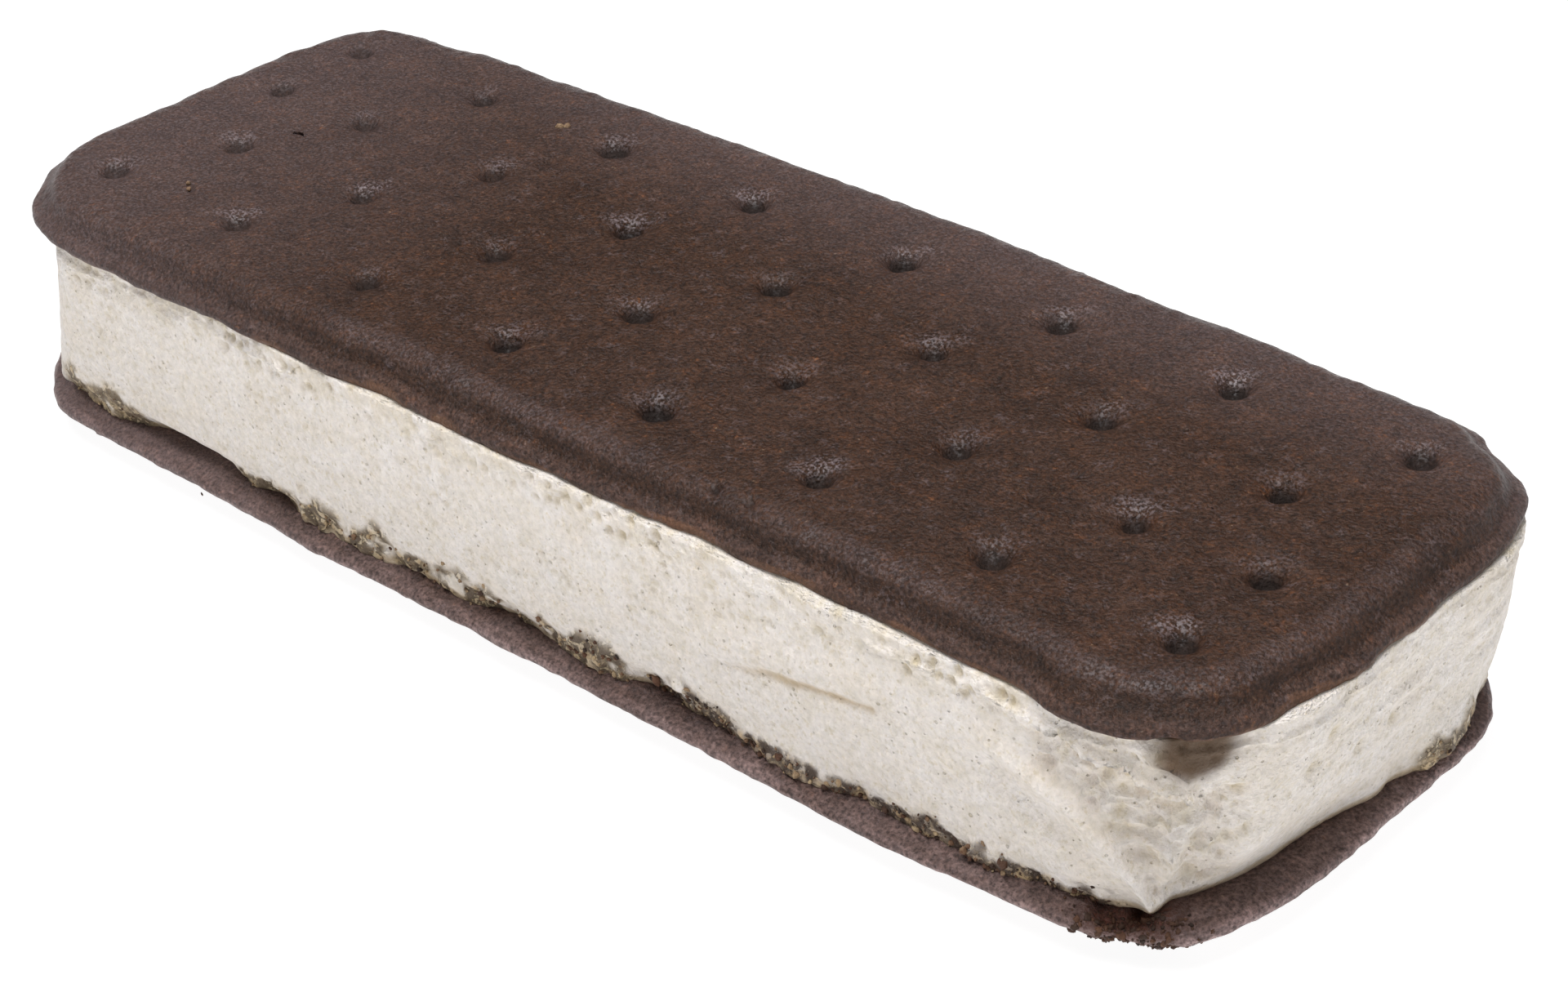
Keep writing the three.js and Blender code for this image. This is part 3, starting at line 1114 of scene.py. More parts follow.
@dataclass(frozen=True)
class TopEdge:
    """The ragged edge under the top wafer: a bead of ice cream, bits and holes.

    Attributes:
        reach: heights over which it comes in.
        hole_warp: unevenness of the holes' places.
        hole_places: where there are more holes, with a share of `fewest` elsewhere.
    """

    reach: Ramp = Ramp(14.9, 16.6)
    bits: Lumps = Lumps(0.12, 1.4, 218, 3)
    bead_at: float = 17.0
    bead_wander: Lumps = Lumps(0.35, 3.2, 216, 1, LEVEL)
    bead_width: float = 0.16
    bead_height: float = 0.28
    bead_places: Patches = Patches(6, 217, -0.5, 0.1)
    holes: Spots = Spots(0.36, 1.15, 219, Ramp(0.2, 0.44))
    hole_warp: Lumps = Lumps(0.135, 1.3, 212, 2)
    hole_places: Patches = Patches(7, 220, -0.3, 0.4, 1, LEVEL)
    fewest: float = 0.35
    hole_stain: float = 0.85
    olive: float = 0.35

    def mark(self, flank: Flank) -> tuple[np.ndarray, np.ndarray]:
        """How far it moves the side out, and how stained it is."""
        points, reach = flank.points, self.reach.up(flank.z)
        bead = bell(flank.z - self.bead_at - self.bead_wander.at(points), self.bead_width)
        bead *= flank.seen * self.bead_places.at(points)
        share = self.fewest + (1 - self.fewest) * self.hole_places.at(points)
        holes = self.holes.at(points + self.hole_warp.at(points)[..., None])
        holes *= reach * (1 - flank.end) * share
        relief = reach * self.bits.at(points) + self.bead_height * bead - self.holes.depth * holes
        return relief, reach * (self.olive * flank.olive + self.hole_stain * holes)


@dataclass(frozen=True)
class BrownPatch:
    """A brown patch under the top wafer at the near corner.

    Attributes:
        run: run of its middle.
        reach: half its width.
        low: height of its lower edge at the middle, which bends up to its ends.
        fade: shares of the reach over which it ends.
    """

    run: float = 60.2
    reach: float = 4.8
    low: float = 15.5
    bend: float = 2.0
    ragged: Lumps = Lumps(0.4, 2, 231, 2)
    edge: Ramp = Ramp(-1.1, 0.4)
    fade: Ramp = Ramp(0.45, 1.15)

    def mask(self, flank: Flank) -> np.ndarray:
        """1 in the patch and 0 outside."""
        away = (flank.run - self.run) / self.reach
        over = flank.z - self.low - self.bend * away * away + self.ragged.at(flank.points)
        return self.edge.up(over) * flank.seen * self.fade.down(np.abs(away))


@dataclass
class IceCream:
    """The slab of vanilla ice cream, whose sides lean from the bottom wafer to the top one.

    Attributes:
        setback: how far the side stands back from the wafers' edges at its foot, half way up and
            at its top, by eighths of a turn from the +X end.
        hollows: dents in the side.
        foot_line: (run, setback) of the foot along the front and the +X end.
        foot_start: height above the foot from which the side leaves the foot line.
        foot_climb: height at which it has left it, and `corner_climb` more past the near corner.
        slip: how far its top is slid along, and its foot back, to stay under the wafers' edges.
        tuck: how far it reaches into each wafer.
        rise: how much further it reaches into the top wafer on the seen sides.
        hem: heights over which the shade at its foot ends.
    """

    setback: tuple[tuple[float, float, float], ...] = (
        (1.5, 0.5, 0.4), (0.5, 0.2, 0.4), (0.7, 0.4, 0.6), (0.9, 0.9, 1.6),
        (1.0, 1.4, 1.9), (0.9, 1.7, 2.8), (0.7, 0.2, 0.5), (1.0, -0.3, 0.3),
    )
    hollows: tuple[Dent, ...] = (
        Dent(58, -18, 5, 0.9, 13),
        Dent(59, -10, 6, 1.1, 3.7),
    )
    foot_line: Line = (
        (-52, 2.1), (-49.5, 1.7), (-46, 1), (-43, 1.45), (-39, 3), (-35, 3.05), (-31.5, 2.2),
        (-29, 1.4), (-25, 2), (-22, 0.6), (-17, 0.85), (-14.7, 0.5), (-11, 1.1), (-4, 1.1),
        (-1, 1.9), (2, 1.7), (7.5, 0.5), (11, 0.9), (14, 2.1), (17, 1.6), (22, 1.1), (26, 0.2),
        (28, 0), (30, 0.3), (33, 1), (34.5, 0.9), (41, 0.5), (45, 0.5), (52, 1.7), (58.4, 1),
        (60, 2.4), (64.3, 2.9), (71, 3.1), (76.5, 2.6), (79, 2.3), (82, 1.6), (84.5, 1.6),
        (88, 0.1), (91, 0.4), (95, 1.3),
    )
    foot_spread: float = 0.5
    foot_start: float = 0.1
    foot_climb: float = 2.4
    corner_climb: float = 2.4
    corner_run: Ramp = Ramp(56, 62)
    seen_sides: Ramp = Ramp(0.3, 0.8)
    skin: Skin = Skin()
    crease: Crease = Crease()
    corner: TornCorner = TornCorner()
    top_edge: TopEdge = TopEdge()
    crust: Crust = Crust()
    brown_patch: BrownPatch = BrownPatch()
    slip: float = 0.9
    tuck: float = 0.4
    rise: float = 0.45
    spine: float = 0.8
    cap_shares: tuple[float, ...] = (0.6, 0.01)
    hem: Ramp = Ramp(0.1, 0.4)
    hem_shade: float = 0.9
    columns: int = 1280
    side_rows: int = 70

    def lean(self, direction: np.ndarray, share: np.ndarray) -> np.ndarray:
        """The setback towards a direction, on a parabola through foot, middle and top values.

        Args:
            direction: angles from the +X end, in radians.
            share: 0 at the foot and 1 at the top.
        """
        table = np.array(self.setback)
        eighths = (direction / (np.pi / 4)) % len(table)
        row = np.floor(eighths).astype(int)
        blend = smoothstep(eighths - row, 0, 1)[..., None]
        near = table[row] * (1 - blend) + table[(row + 1) % len(table)] * blend
        foot, middle, top = (near[..., k] for k in range(3))
        sag = 2 * foot - 4 * middle + 2 * top
        return foot + (top - foot - sag) * share + sag * share * share

    def flank(self) -> Flank:
        """The plain side: the wafer's outline set back by the lean, and by the foot's own line."""
        low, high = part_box("ice_cream")
        base, top = low.z / MM, high.z / MM
        edge, normal = Outline.of_node("wafer_top").points(self.columns)
        share = np.linspace(1, 0, self.side_rows + 1)[:, None] * np.ones(self.columns)
        edge, normal = (np.broadcast_to(level, share.shape + (2,)) for level in (edge, normal))
        z = base + share * (top - base)
        level = np.concatenate([edge, z[..., None]], axis=-1)
        run = run_along(edge)
        seen = self.seen_sides.up(normal[..., 0] - normal[..., 1])
        direction = np.arctan2(normal[..., 1], normal[..., 0])
        inset = self.lean(direction, share) + Dent.total(self.hollows, level)
        change = follow(self.foot_line, run, self.foot_spread) - inset[-1]
        climb = base + self.foot_climb + self.corner_climb * self.corner_run.up(run)
        inset = inset + change * seen * (1 - smoothstep(z, base + self.foot_start, climb))
        outward = np.concatenate([normal, np.zeros(share.shape + (1,))], axis=-1)
        points = level - outward * inset[..., None]
        points[..., 0] += self.slip * (2 * share - 1)
        points[..., 2] = base - self.tuck + share * (top - base + 2 * self.tuck + self.rise * seen)
        return Flank(points, outward, run, seen, self.tuck)

    def shape(self) -> tuple[np.ndarray, Masks]:
        """The finished side, and the masks for its material.

        The plain side is moved outwards by its skin, its crease, the torn corner, the ragged edge
        under the top wafer and the crumb along its foot.
        """
        flank = self.flank()
        fold_relief, fold = self.crease.mark(flank)
        marks = [part.mark(flank) for part in (self.skin, self.corner, self.top_edge)]
        band, dark = self.crust.band(flank)
        relief = sum(moved for moved, _ in marks) + fold_relief
        relief += band * (self.crust.thickness + self.crust.grit.at(flank.points))
        # Painted shade along the crease and at the foot.
        hem = self.hem_shade * flank.seen * self.hem.down(flank.above)
        masks = {
            "crust": band * self.crust.clustered(flank, dark),
            "crust_dark": dark,
            "stain": sum(stain for _, stain in marks),
            "fold": np.maximum(fold, hem),
            "brown_patch": self.brown_patch.mask(flank),
        }
        return flank.points + flank.outward * relief[..., None], masks

    def cap(self, ring: np.ndarray) -> np.ndarray:
        """Two rings that draw a ring in to a thin spine, outermost first."""
        spine = ring * (self.spine, 0, 1) + (0, Outline.of_node("wafer_top").middle, 0)
        return np.array([spine + share * (ring - spine) for share in self.cap_shares])

    def build(self, material: Material) -> tuple[np.ndarray, Masks]:
        """Makes the slab's piece, and returns its side's surface and masks."""
        surface, masks = self.shape()
        rings = np.concatenate([self.cap(surface[0])[::-1], surface, self.cap(surface[-1])])
        piece = make_object("ice_cream_slab", rings, stack_faces(*rings.shape[:2]))
        capped = ((len(self.cap_shares), len(self.cap_shares)), (0, 0))
        paint(piece, {name: np.pad(mask, capped) for name, mask in masks.items()})
        settle(piece, "ice_cream", material, "ice_cream")
        return surface, masks


@dataclass
class Crumbs:
    """Loose bits of wafer, each a lumpy ball, joined in one piece.

    Attributes:
        rings: rings of points on one crumb, each with a point for every one of its sectors.
        squash: least and largest stretch of a crumb along each of its axes.
        lump_height: height of its lumps, as a share of its radius.
        spread: range from which each crumb takes its own lumps.
    """

    name: str
    seed: int
    rings: int = 6
    sectors: int = 9
    squash: Pair = (0.6, 1.35)
    lump_height: float = 0.42
    lumps: float = 1.7
    spread: float = 900
    lowest: float = 0.02

    def template(self) -> tuple[np.ndarray, list[np.ndarray]]:
        """A unit ball by latitude and longitude, with its two poles, and its faces."""
        polar = np.linspace(0, np.pi, self.rings + 2)[1:-1, None]
        turn = np.linspace(0, 2 * np.pi, self.sectors, endpoint=False)[None, :]
        ball = np.stack([np.sin(polar) * np.cos(turn), np.sin(polar) * np.sin(turn),
                         np.cos(polar) * np.ones(turn.shape)], axis=-1).reshape(-1, 3)
        ball = np.concatenate([ball, [(0, 0, 1), (0, 0, -1)]])
        row = np.arange(self.rings - 1)[:, None] * self.sectors
        here = np.arange(self.sectors)[None, :]
        beside = (here + 1) % self.sectors
        walls = [row + here, row + self.sectors + here, row + self.sectors + beside, row + beside]
        top, bottom = len(ball) - 2, len(ball) - 1
        last = (self.rings - 1) * self.sectors
        here, beside = here.ravel(), beside.ravel()
        lids = np.concatenate([
            np.column_stack([np.full(self.sectors, top), here, beside]),
            np.column_stack([np.full(self.sectors, bottom), last + beside, last + here])])
        return ball, [np.stack(walls, axis=-1).reshape(-1, 4), lids]

    def build(self, places: np.ndarray, sizes: np.ndarray, tones: np.ndarray,
              material: Material) -> bpy.types.Object:
        """Makes the crumbs.

        Args:
            places: their middles in millimetres.
            sizes: their mean radii in millimetres.
            tones: 0 for dark crumb and 1 for pale crumb, one for each.
            material: their material.

        Returns:
            The one piece that holds them all.
        """
        rng = np.random.default_rng(self.seed)
        ball, faces = self.template()
        count = len(places)
        turns, _ = np.linalg.qr(rng.normal(size=(count, 3, 3)))
        turns *= np.sign(np.linalg.det(turns))[:, None, None]
        squash = rng.uniform(*self.squash, size=(count, 1, 3))
        own = ball * self.lumps + rng.uniform(0, self.spread, size=(count, 1, 3))
        lumps = 1 + self.lump_height * smooth_noise(own, 1.0, self.seed)
        bodies = np.matmul(ball * squash * lumps[..., None], turns) * sizes[:, None, None]
        points = places[:, None, :] + bodies
        points[..., 2] = np.maximum(points[..., 2], self.lowest)
        offsets = (np.arange(count) * len(ball))[:, None, None]
        everywhere = [(face[None] + offsets).reshape(-1, face.shape[1]) for face in faces]
        piece = make_object(self.name, points, everywhere)
        paint(piece, {"tone": np.repeat(tones, len(ball))})
        settle(piece, "wafer", material)
        return piece


class Nodes:
    """Writes a node tree: adds nodes and links sockets by name."""

    def __init__(self, tree: bpy.types.NodeTree) -> None:
        """Keeps the tree that the nodes go into."""
        self.tree = tree

    def fill(self, socket: Socket, value: object) -> None:
        """Gives an input socket a value, or links an output to it."""
        if isinstance(value, Socket):
            self.tree.links.new(value, socket)
        else:
            socket.default_value = value

    def add(self, kind: str, inputs: dict | None = None, **settings: object) -> bpy.types.Node:
        """Adds a node.

        Args:
            kind: the node's type.
            inputs: values or output sockets for its inputs, by name or number.
            settings: properties to set on it.

        Returns:
            The node.
        """
        node = self.tree.nodes.new(kind)
        for name, value in settings.items():
            setattr(node, name, value)
        for name, value in (inputs or {}).items():
            self.fill(node.inputs[name], value)
        return node

    def blend(self, share: object, first: object, second: object, mode: str = "MIX") -> Socket:
        """A colour between two, by a share.

        Args:
            share: 0 for the first colour and 1 for the second.
            first: first colour.
            second: second colour.
            mode: how they are mixed.

        Returns:
            The colour.
        """
        mix = self.add("ShaderNodeMix", data_type="RGBA", blend_type=mode)
        for name, value in (("Factor_Float", share), ("A_Color", first), ("B_Color", second)):
            self.fill(next(s for s in mix.inputs if s.identifier == name), value)
        return next(s for s in mix.outputs if s.identifier == "Result_Color")

    def math(self, operation: str, *values: object) -> Socket:
        """The result of a Math node."""
        return self.add("ShaderNodeMath", dict(enumerate(values)), operation=operation).outputs[0]

    def times(self, first: object, second: object) -> Socket:
        """The product of two values."""
        return self.math("MULTIPLY", first, second)

    def most(self, first: object, second: object) -> Socket:
        """The larger of two values."""
        return self.math("MAXIMUM", first, second)

    def scaled(self, value: object, scale: object, more: object) -> Socket:
        """A value times a scale, and more."""
        return self.math("MULTIPLY_ADD", value, scale, more)

    def span(self, value: Socket, low: float, high: float, start: float, end: float) -> Socket:
        """Maps a value from low..high to start..end, held at both ends."""
        names = ("Value", "From Min", "From Max", "To Min", "To Max")
        inputs = dict(zip(names, (value, low, high, start, end)))
        return self.add("ShaderNodeMapRange", inputs).outputs["Result"]

    def between(self, share: Socket, start: float, end: float) -> Socket:
        """Maps a share from 0..1 to start..end."""
        return self.span(share, 0, 1, start, end)

    def tint(self, colour: Socket, new: object, share: object, strength: object) -> Socket:
        """A colour drawn towards a new one by a share times a strength."""
        return self.blend(self.times(share, strength), colour, new)

    def shade(self, colour: Socket, share: Socket, start: float, end: float) -> Socket:
        """A colour made darker or lighter: times start where the share is 0, and end where it is 1."""
        return self.blend(1.0, colour, self.between(share, start, end), "MULTIPLY")


class SharedGroups:
    """Node groups that several finishes place, each built once.

    Attributes:
        roughness: strength of each finer layer of the mottle's noise.
        wobble: how uneven the pores are, in cells, and what that adds on average.
        full: share of a pore's size inside which it is 1.
    """

    roughness: float = 0.6
    wobble_scale: float = 900.0
    wobble: float = 0.5
    wobble_mean: float = 0.25
    full: float = 0.7

    def __init__(self) -> None:
        """Builds the groups."""
        self.mottle = self._mottle()
        self.pores = self._pores()

    @staticmethod
    def _open(name: str, inputs: dict[str, float]) -> tuple[bpy.types.NodeTree, Nodes]:
        """A new group with float inputs, a place input and a mask as its output."""
        group = bpy.data.node_groups.new(name, "ShaderNodeTree")
        group.interface.new_socket("Place", in_out="INPUT", socket_type="NodeSocketVector")
        for label, default in inputs.items():
            socket = group.interface.new_socket(label, in_out="INPUT", socket_type="NodeSocketFloat")
            socket.default_value = default
        group.interface.new_socket("Mask", in_out="OUTPUT", socket_type="NodeSocketFloat")
        return group, Nodes(group)

    def _mottle(self) -> bpy.types.NodeTree:
        """Soft patches: layered noise, stretched so that it reaches from 0 to 1."""
        inputs = {"Scale": 300.0, "Detail": 3.0, "Low": 0.35, "High": 0.65}
        group, nodes = self._open("mottle", inputs)
        start = nodes.add("NodeGroupInput").outputs
        noise = nodes.add("ShaderNodeTexNoise", {
            "Vector": start["Place"], "Scale": start["Scale"], "Detail": start["Detail"],
            "Roughness": self.roughness})
        spread = nodes.span(noise.outputs["Fac"], start["Low"], start["High"], 0, 1)
        nodes.add("NodeGroupOutput", {"Mask": spread})
        return group

    def _pores(self) -> bpy.types.NodeTree:
        """Scattered round spots: 1 at each cell's middle and 0 beyond the given size."""
        group, nodes = self._open("pores", {"Scale": 1500.0, "Size": 0.3})
        start = nodes.add("NodeGroupInput").outputs
        wobble = nodes.add("ShaderNodeTexNoise", {"Vector": start["Place"], "Scale": self.wobble_scale})
        cells = nodes.add("ShaderNodeTexVoronoi", {"Vector": start["Place"], "Scale": start["Scale"]})
        ragged = nodes.scaled(wobble.outputs["Fac"], self.wobble, cells.outputs["Distance"])
        size = nodes.math("ADD", start["Size"], self.wobble_mean)
        share = nodes.math("DIVIDE", ragged, size)
        spot = nodes.add("ShaderNodeMapRange", {"Value": share, "From Min": 1.0, "From Max": self.full},
                         interpolation_type="SMOOTHSTEP")
        nodes.add("NodeGroupOutput", {"Mask": spot.outputs["Result"]})
        return group


@dataclass(frozen=True)
class Mottle:
    """Soft patches of one size.

    Attributes:
        scale: the noise's scale, for places in metres.
        detail: its layers.
        low: noise at which a patch starts.
        high: noise at which it is full.
    """

    scale: float
    detail: float
    low: float = 0.35
    high: float = 0.65


class Sheet(Nodes):
    """A new material, its shader and its node writer.

    Attributes:
        material: the material.
        shader: its Principled shader.
        place: the object's own coordinates.
    """

    def __init__(self, name: str, groups: SharedGroups) -> None:
        """Makes the material and its place."""
        self.material = bpy.data.materials.new(name)
        self.material.use_nodes = True
        super().__init__(self.material.node_tree)
        self.groups = groups
        self.shader = self.tree.nodes["Principled BSDF"]
        self.place = self.add("ShaderNodeTexCoord").outputs["Object"]
        self.made: dict[object, Socket] = {}

    def mask(self, name: str) -> Socket:
        """A float attribute of the mesh, from a node that is added once."""
        if name not in self.made:
            self.made[name] = self.add("ShaderNodeAttribute", attribute_name=name).outputs["Fac"]
        return self.made[name]

    def mottle(self, patches: Mottle, place: Socket | None = None) -> Socket:
        """The patches of a mottle, from 0 to 1, from a node that is added once.

        Args:
            patches: what they are like.
            place: where they are read, if not at the object's own coordinates.
        """
        if patches not in self.made:
            inputs = {"Place": self.place if place is None else place, "Scale": patches.scale,
                      "Detail": patches.detail, "Low": patches.low, "High": patches.high}
            node = self.add("ShaderNodeGroup", inputs, node_tree=self.groups.mottle)
            self.made[patches] = node.outputs["Mask"]
        return self.made[patches]

    def pores(self, scale: float, size: float) -> Socket:
        """Scattered round spots, from 0 to 1."""
        inputs = {"Place": self.place, "Scale": scale, "Size": size}
        return self.add("ShaderNodeGroup", inputs, node_tree=self.groups.pores).outputs["Mask"]

    def mapped(self, **settings: object) -> Socket:
        """The place through a Mapping node, whose inputs and vector type are given."""
        kind = settings.pop("vector_type", "POINT")
        inputs = {"Vector": self.place} | settings
        return self.add("ShaderNodeMapping", inputs, vector_type=kind).outputs["Vector"]

    def axis(self, name: str) -> Socket:
        """The place along X, Y or Z, in metres."""
        return self.add("ShaderNodeSeparateXYZ", {"Vector": self.place}).outputs[name]

    def feed(self, inputs: dict[str, object]) -> None:
        """Gives the shader its inputs, each a value or a socket."""
        for name, value in inputs.items():
            self.fill(self.shader.inputs[name], value)

    def bump(self, height: Socket, distance: float, strength: float = 1.0) -> Socket:
        """The normal of a bump, whose depth is given in metres."""
        inputs = {"Height": height, "Distance": distance, "Strength": strength}
        return self.add("ShaderNodeBump", inputs).outputs["Normal"]


@dataclass(frozen=True)
class ChocolateWafer:
    """Soft dark wafer: fine grain with rusty specks and painted pale glints, a crinkled painted sheen
    by the holes.

    Attributes:
        rusty: where the wafer is redder and has more flecks.
        specks: pale specks, which the painted sheens and the coat's gloss are made of.
        patches: where the plain face has a faint painted sheen.
        streaks: streaks of the lip's pale painted sheen, drawn out along it.
        crinkles: crinkles of the sheens, drawn out across them.
        tan_span: values of the tan mask over which tan comes in, which the grain breaks up.
        far_sheen_x: X in metres over which a painted sheen comes in towards the far end.
        far_sheen_y: the same for Y, towards the back.
        crinkled: height of the crinkles outside a sheen and in it.
        relief: depth of the bump, in metres.
    """

    name: str = "chocolate_wafer"
    dark: Colour = (0.037, 0.0165, 0.009, 1)
    light: Colour = (0.0565, 0.0265, 0.0155, 1)
    red: Colour = (0.088, 0.034, 0.0145, 1)
    # Near black of the painted shade in the pits.
    hollow: Colour = (0.012, 0.007, 0.0055, 1)
    # Dark brown: painted shade in the groove, and the dark of the lip's streaks and of broken crumb.
    groove: Colour = (0.036, 0.018, 0.0115, 1)
    # Lilac grey of the painted sheen on the lips.
    pale: Colour = (0.40, 0.282, 0.27, 1)
    tan: Colour = (0.2, 0.098, 0.054, 1)
    broken: Colour = (0.14, 0.05, 0.034, 1)
    # Lilac white of the painted glints and haze.
    painted_glint: Colour = (0.28, 0.218, 0.23, 1)
    rust: Colour = (0.19, 0.07, 0.026, 1)
    gold: Colour = (0.34, 0.235, 0.15, 1)
    broad: Mottle = Mottle(260, 4)
    rusty: Mottle = Mottle(420, 6, 0.50, 0.64)
    grain: Mottle = Mottle(3600, 3, 0.33, 0.67)
    coarse: Mottle = Mottle(1700, 4, 0.3, 0.7)
    specks: Mottle = Mottle(4200, 3, 0.47, 0.62)
    patches: Mottle = Mottle(800, 5, 0.52, 0.68)
    flecks: Mottle = Mottle(1900, 4, 0.60, 0.68)
    gilt: Mottle = Mottle(2700, 3, 0.66, 0.74)
    streaks: Mottle = Mottle(2600, 3)
    crinkles: Mottle = Mottle(1500, 4, 0.3, 0.7)
    red_share: float = 0.28
    fleck_least: float = 0.12
    fleck_more: float = 0.5
    groove_shade_share: float = 0.6
    drawn_out: Place = (0.12, 0.12, 1.0)
    even_pale: float = 0.6
    grain_shade: Pair = (0.42, 1.58)
    coarse_shade: Pair = (0.72, 1.28)
    tan_span: Span = (0.45, 0.9, 0, 0.8)
    tan_grain: Pair = (0.5, 1.0)
    roll_sheen: Pair = (0.2, 0.5)
    face_sheen: float = 0.36
    far_sheen_x: Span = (-0.018, -0.052, 0, 0.62)
    far_sheen_y: Span = (0.006, 0.020, 0, 0.6)
    far_sheen_specks: float = 0.5
    sheen_scale: float = 0.75
    sheen_least: float = 0.045
    roll_painted_haze: float = 0.05
    far_sheen_haze: float = 0.24
    pit_shade_share: float = 0.93
    roll_gloss: float = 0.6
    grain_rough: Pair = (0.48, 0.36)
    gloss_rough: float = -0.10
    hollow_rough: float = 0.35
    coat: float = 0.55
    coat_roughness: float = 0.3
    specular: float = 0.24
    crinkle_turn: float = 0.78
    crinkle_stretch: float = 2.4
    crinkled: Pair = (0.9, 2.4)
    relief: float = 0.00008

    def ground(self, sheet: Sheet) -> Socket:
        """The plain wafer's colour: mottled, with rusty and gold flecks, and painted shade in the
        groove.
        """
        rusty = sheet.mottle(self.rusty)
        colour = sheet.blend(sheet.mottle(self.broad), self.dark, self.light)
        colour = sheet.tint(colour, self.red, rusty, self.red_share)
        clustered = sheet.scaled(rusty, self.fleck_more, self.fleck_least)
        colour = sheet.tint(colour, self.rust, sheet.mottle(self.flecks), clustered)
        colour = sheet.tint(colour, self.gold, sheet.mottle(self.gilt), clustered)
        return sheet.tint(colour, self.groove, sheet.mask("groove"), self.groove_shade_share)

    def rim(self, sheet: Sheet, colour: Socket) -> Socket:
        """Lays the lip's streaky pale painted sheen, the grain, the tan line and the broken crumb on a
        colour.
        """
        streaks = sheet.mottle(self.streaks, sheet.mapped(Scale=self.drawn_out))
        streaked = sheet.blend(self.even_pale, sheet.blend(streaks, self.groove, self.pale), self.pale)
        colour = sheet.blend(sheet.mask("pale"), colour, streaked)
        grain, tan = sheet.mottle(self.grain), sheet.mask("tan")
        colour = sheet.shade(colour, grain, *self.grain_shade)
        colour = sheet.shade(colour, sheet.mottle(self.coarse), *self.coarse_shade)
        ragged = sheet.times(sheet.span(tan, *self.tan_span), sheet.between(grain, *self.tan_grain))
        ragged = sheet.most(ragged, sheet.times(tan, sheet.mottle(self.flecks)))
        colour = sheet.blend(ragged, colour, self.tan)
        return sheet.blend(sheet.mask("crumbled"), colour, sheet.blend(grain, self.broken, self.groove))

    def sheen(self, sheet: Sheet, colour: Socket) -> Socket:
        """Lays a painted sheen of pale specks and a haze on a colour: by the holes, on the roll, far
        end and back.
        """
        roll, patches = sheet.mask("roll"), sheet.mottle(self.patches)
        # Painted sheen towards the far end and the back.
        painted_far_sheen = sheet.most(sheet.span(sheet.axis("X"), *self.far_sheen_x),
                           sheet.span(sheet.axis("Y"), *self.far_sheen_y))
        # Painted sheen on the rim's roll, in patches.
        on_roll = sheet.times(roll, sheet.between(patches, *self.roll_sheen))
        shine = sheet.most(sheet.mask("crinkle_and_painted_sheen"), on_roll)
        shine = sheet.most(shine, sheet.times(patches, self.face_sheen))
        shine = sheet.most(shine, sheet.times(painted_far_sheen, self.far_sheen_specks))
        # Painted glints: pale specks, dense in the sheens and sparse elsewhere.
        shine = sheet.scaled(shine, self.sheen_scale, self.sheen_least)
        painted_haze = sheet.most(sheet.times(roll, self.roll_painted_haze), sheet.times(painted_far_sheen, self.far_sheen_haze))
        colour = sheet.blend(painted_haze, colour, self.painted_glint)
        return sheet.tint(colour, self.painted_glint, sheet.mottle(self.specks), shine)

    def build(self, groups: SharedGroups) -> Material:
        """Writes the material."""
        sheet = Sheet(self.name, groups)
        crinkle_and_painted_sheen, hollow, grain = sheet.mask("crinkle_and_painted_sheen"), sheet.mask("hollow"), sheet.mottle(self.grain)
        colour = self.sheen(sheet, self.rim(sheet, self.ground(sheet)))
        glossy = sheet.most(crinkle_and_painted_sheen, sheet.times(sheet.mask("roll"), self.roll_gloss))
        rough = sheet.scaled(glossy, self.gloss_rough, sheet.between(grain, *self.grain_rough))
        across = sheet.mapped(Rotation=(0, 0, self.crinkle_turn), vector_type="TEXTURE",
                              Scale=(self.crinkle_stretch, 1, 1))
        crinkle = sheet.mottle(self.crinkles, across)
        height = sheet.scaled(crinkle, sheet.between(crinkle_and_painted_sheen, *self.crinkled), grain)
        sheet.feed({
            # Painted shade in the pits.
            "Base Color": sheet.tint(colour, self.hollow, hollow, self.pit_shade_share),
            "Roughness": sheet.scaled(hollow, self.hollow_rough, rough),
            "Coat Weight": sheet.times(sheet.times(glossy, sheet.mottle(self.specks)), self.coat),
            "Coat Roughness": self.coat_roughness,
            "Specular IOR Level": self.specular,
            "Normal": sheet.bump(height, self.relief),
        })
        return sheet.material


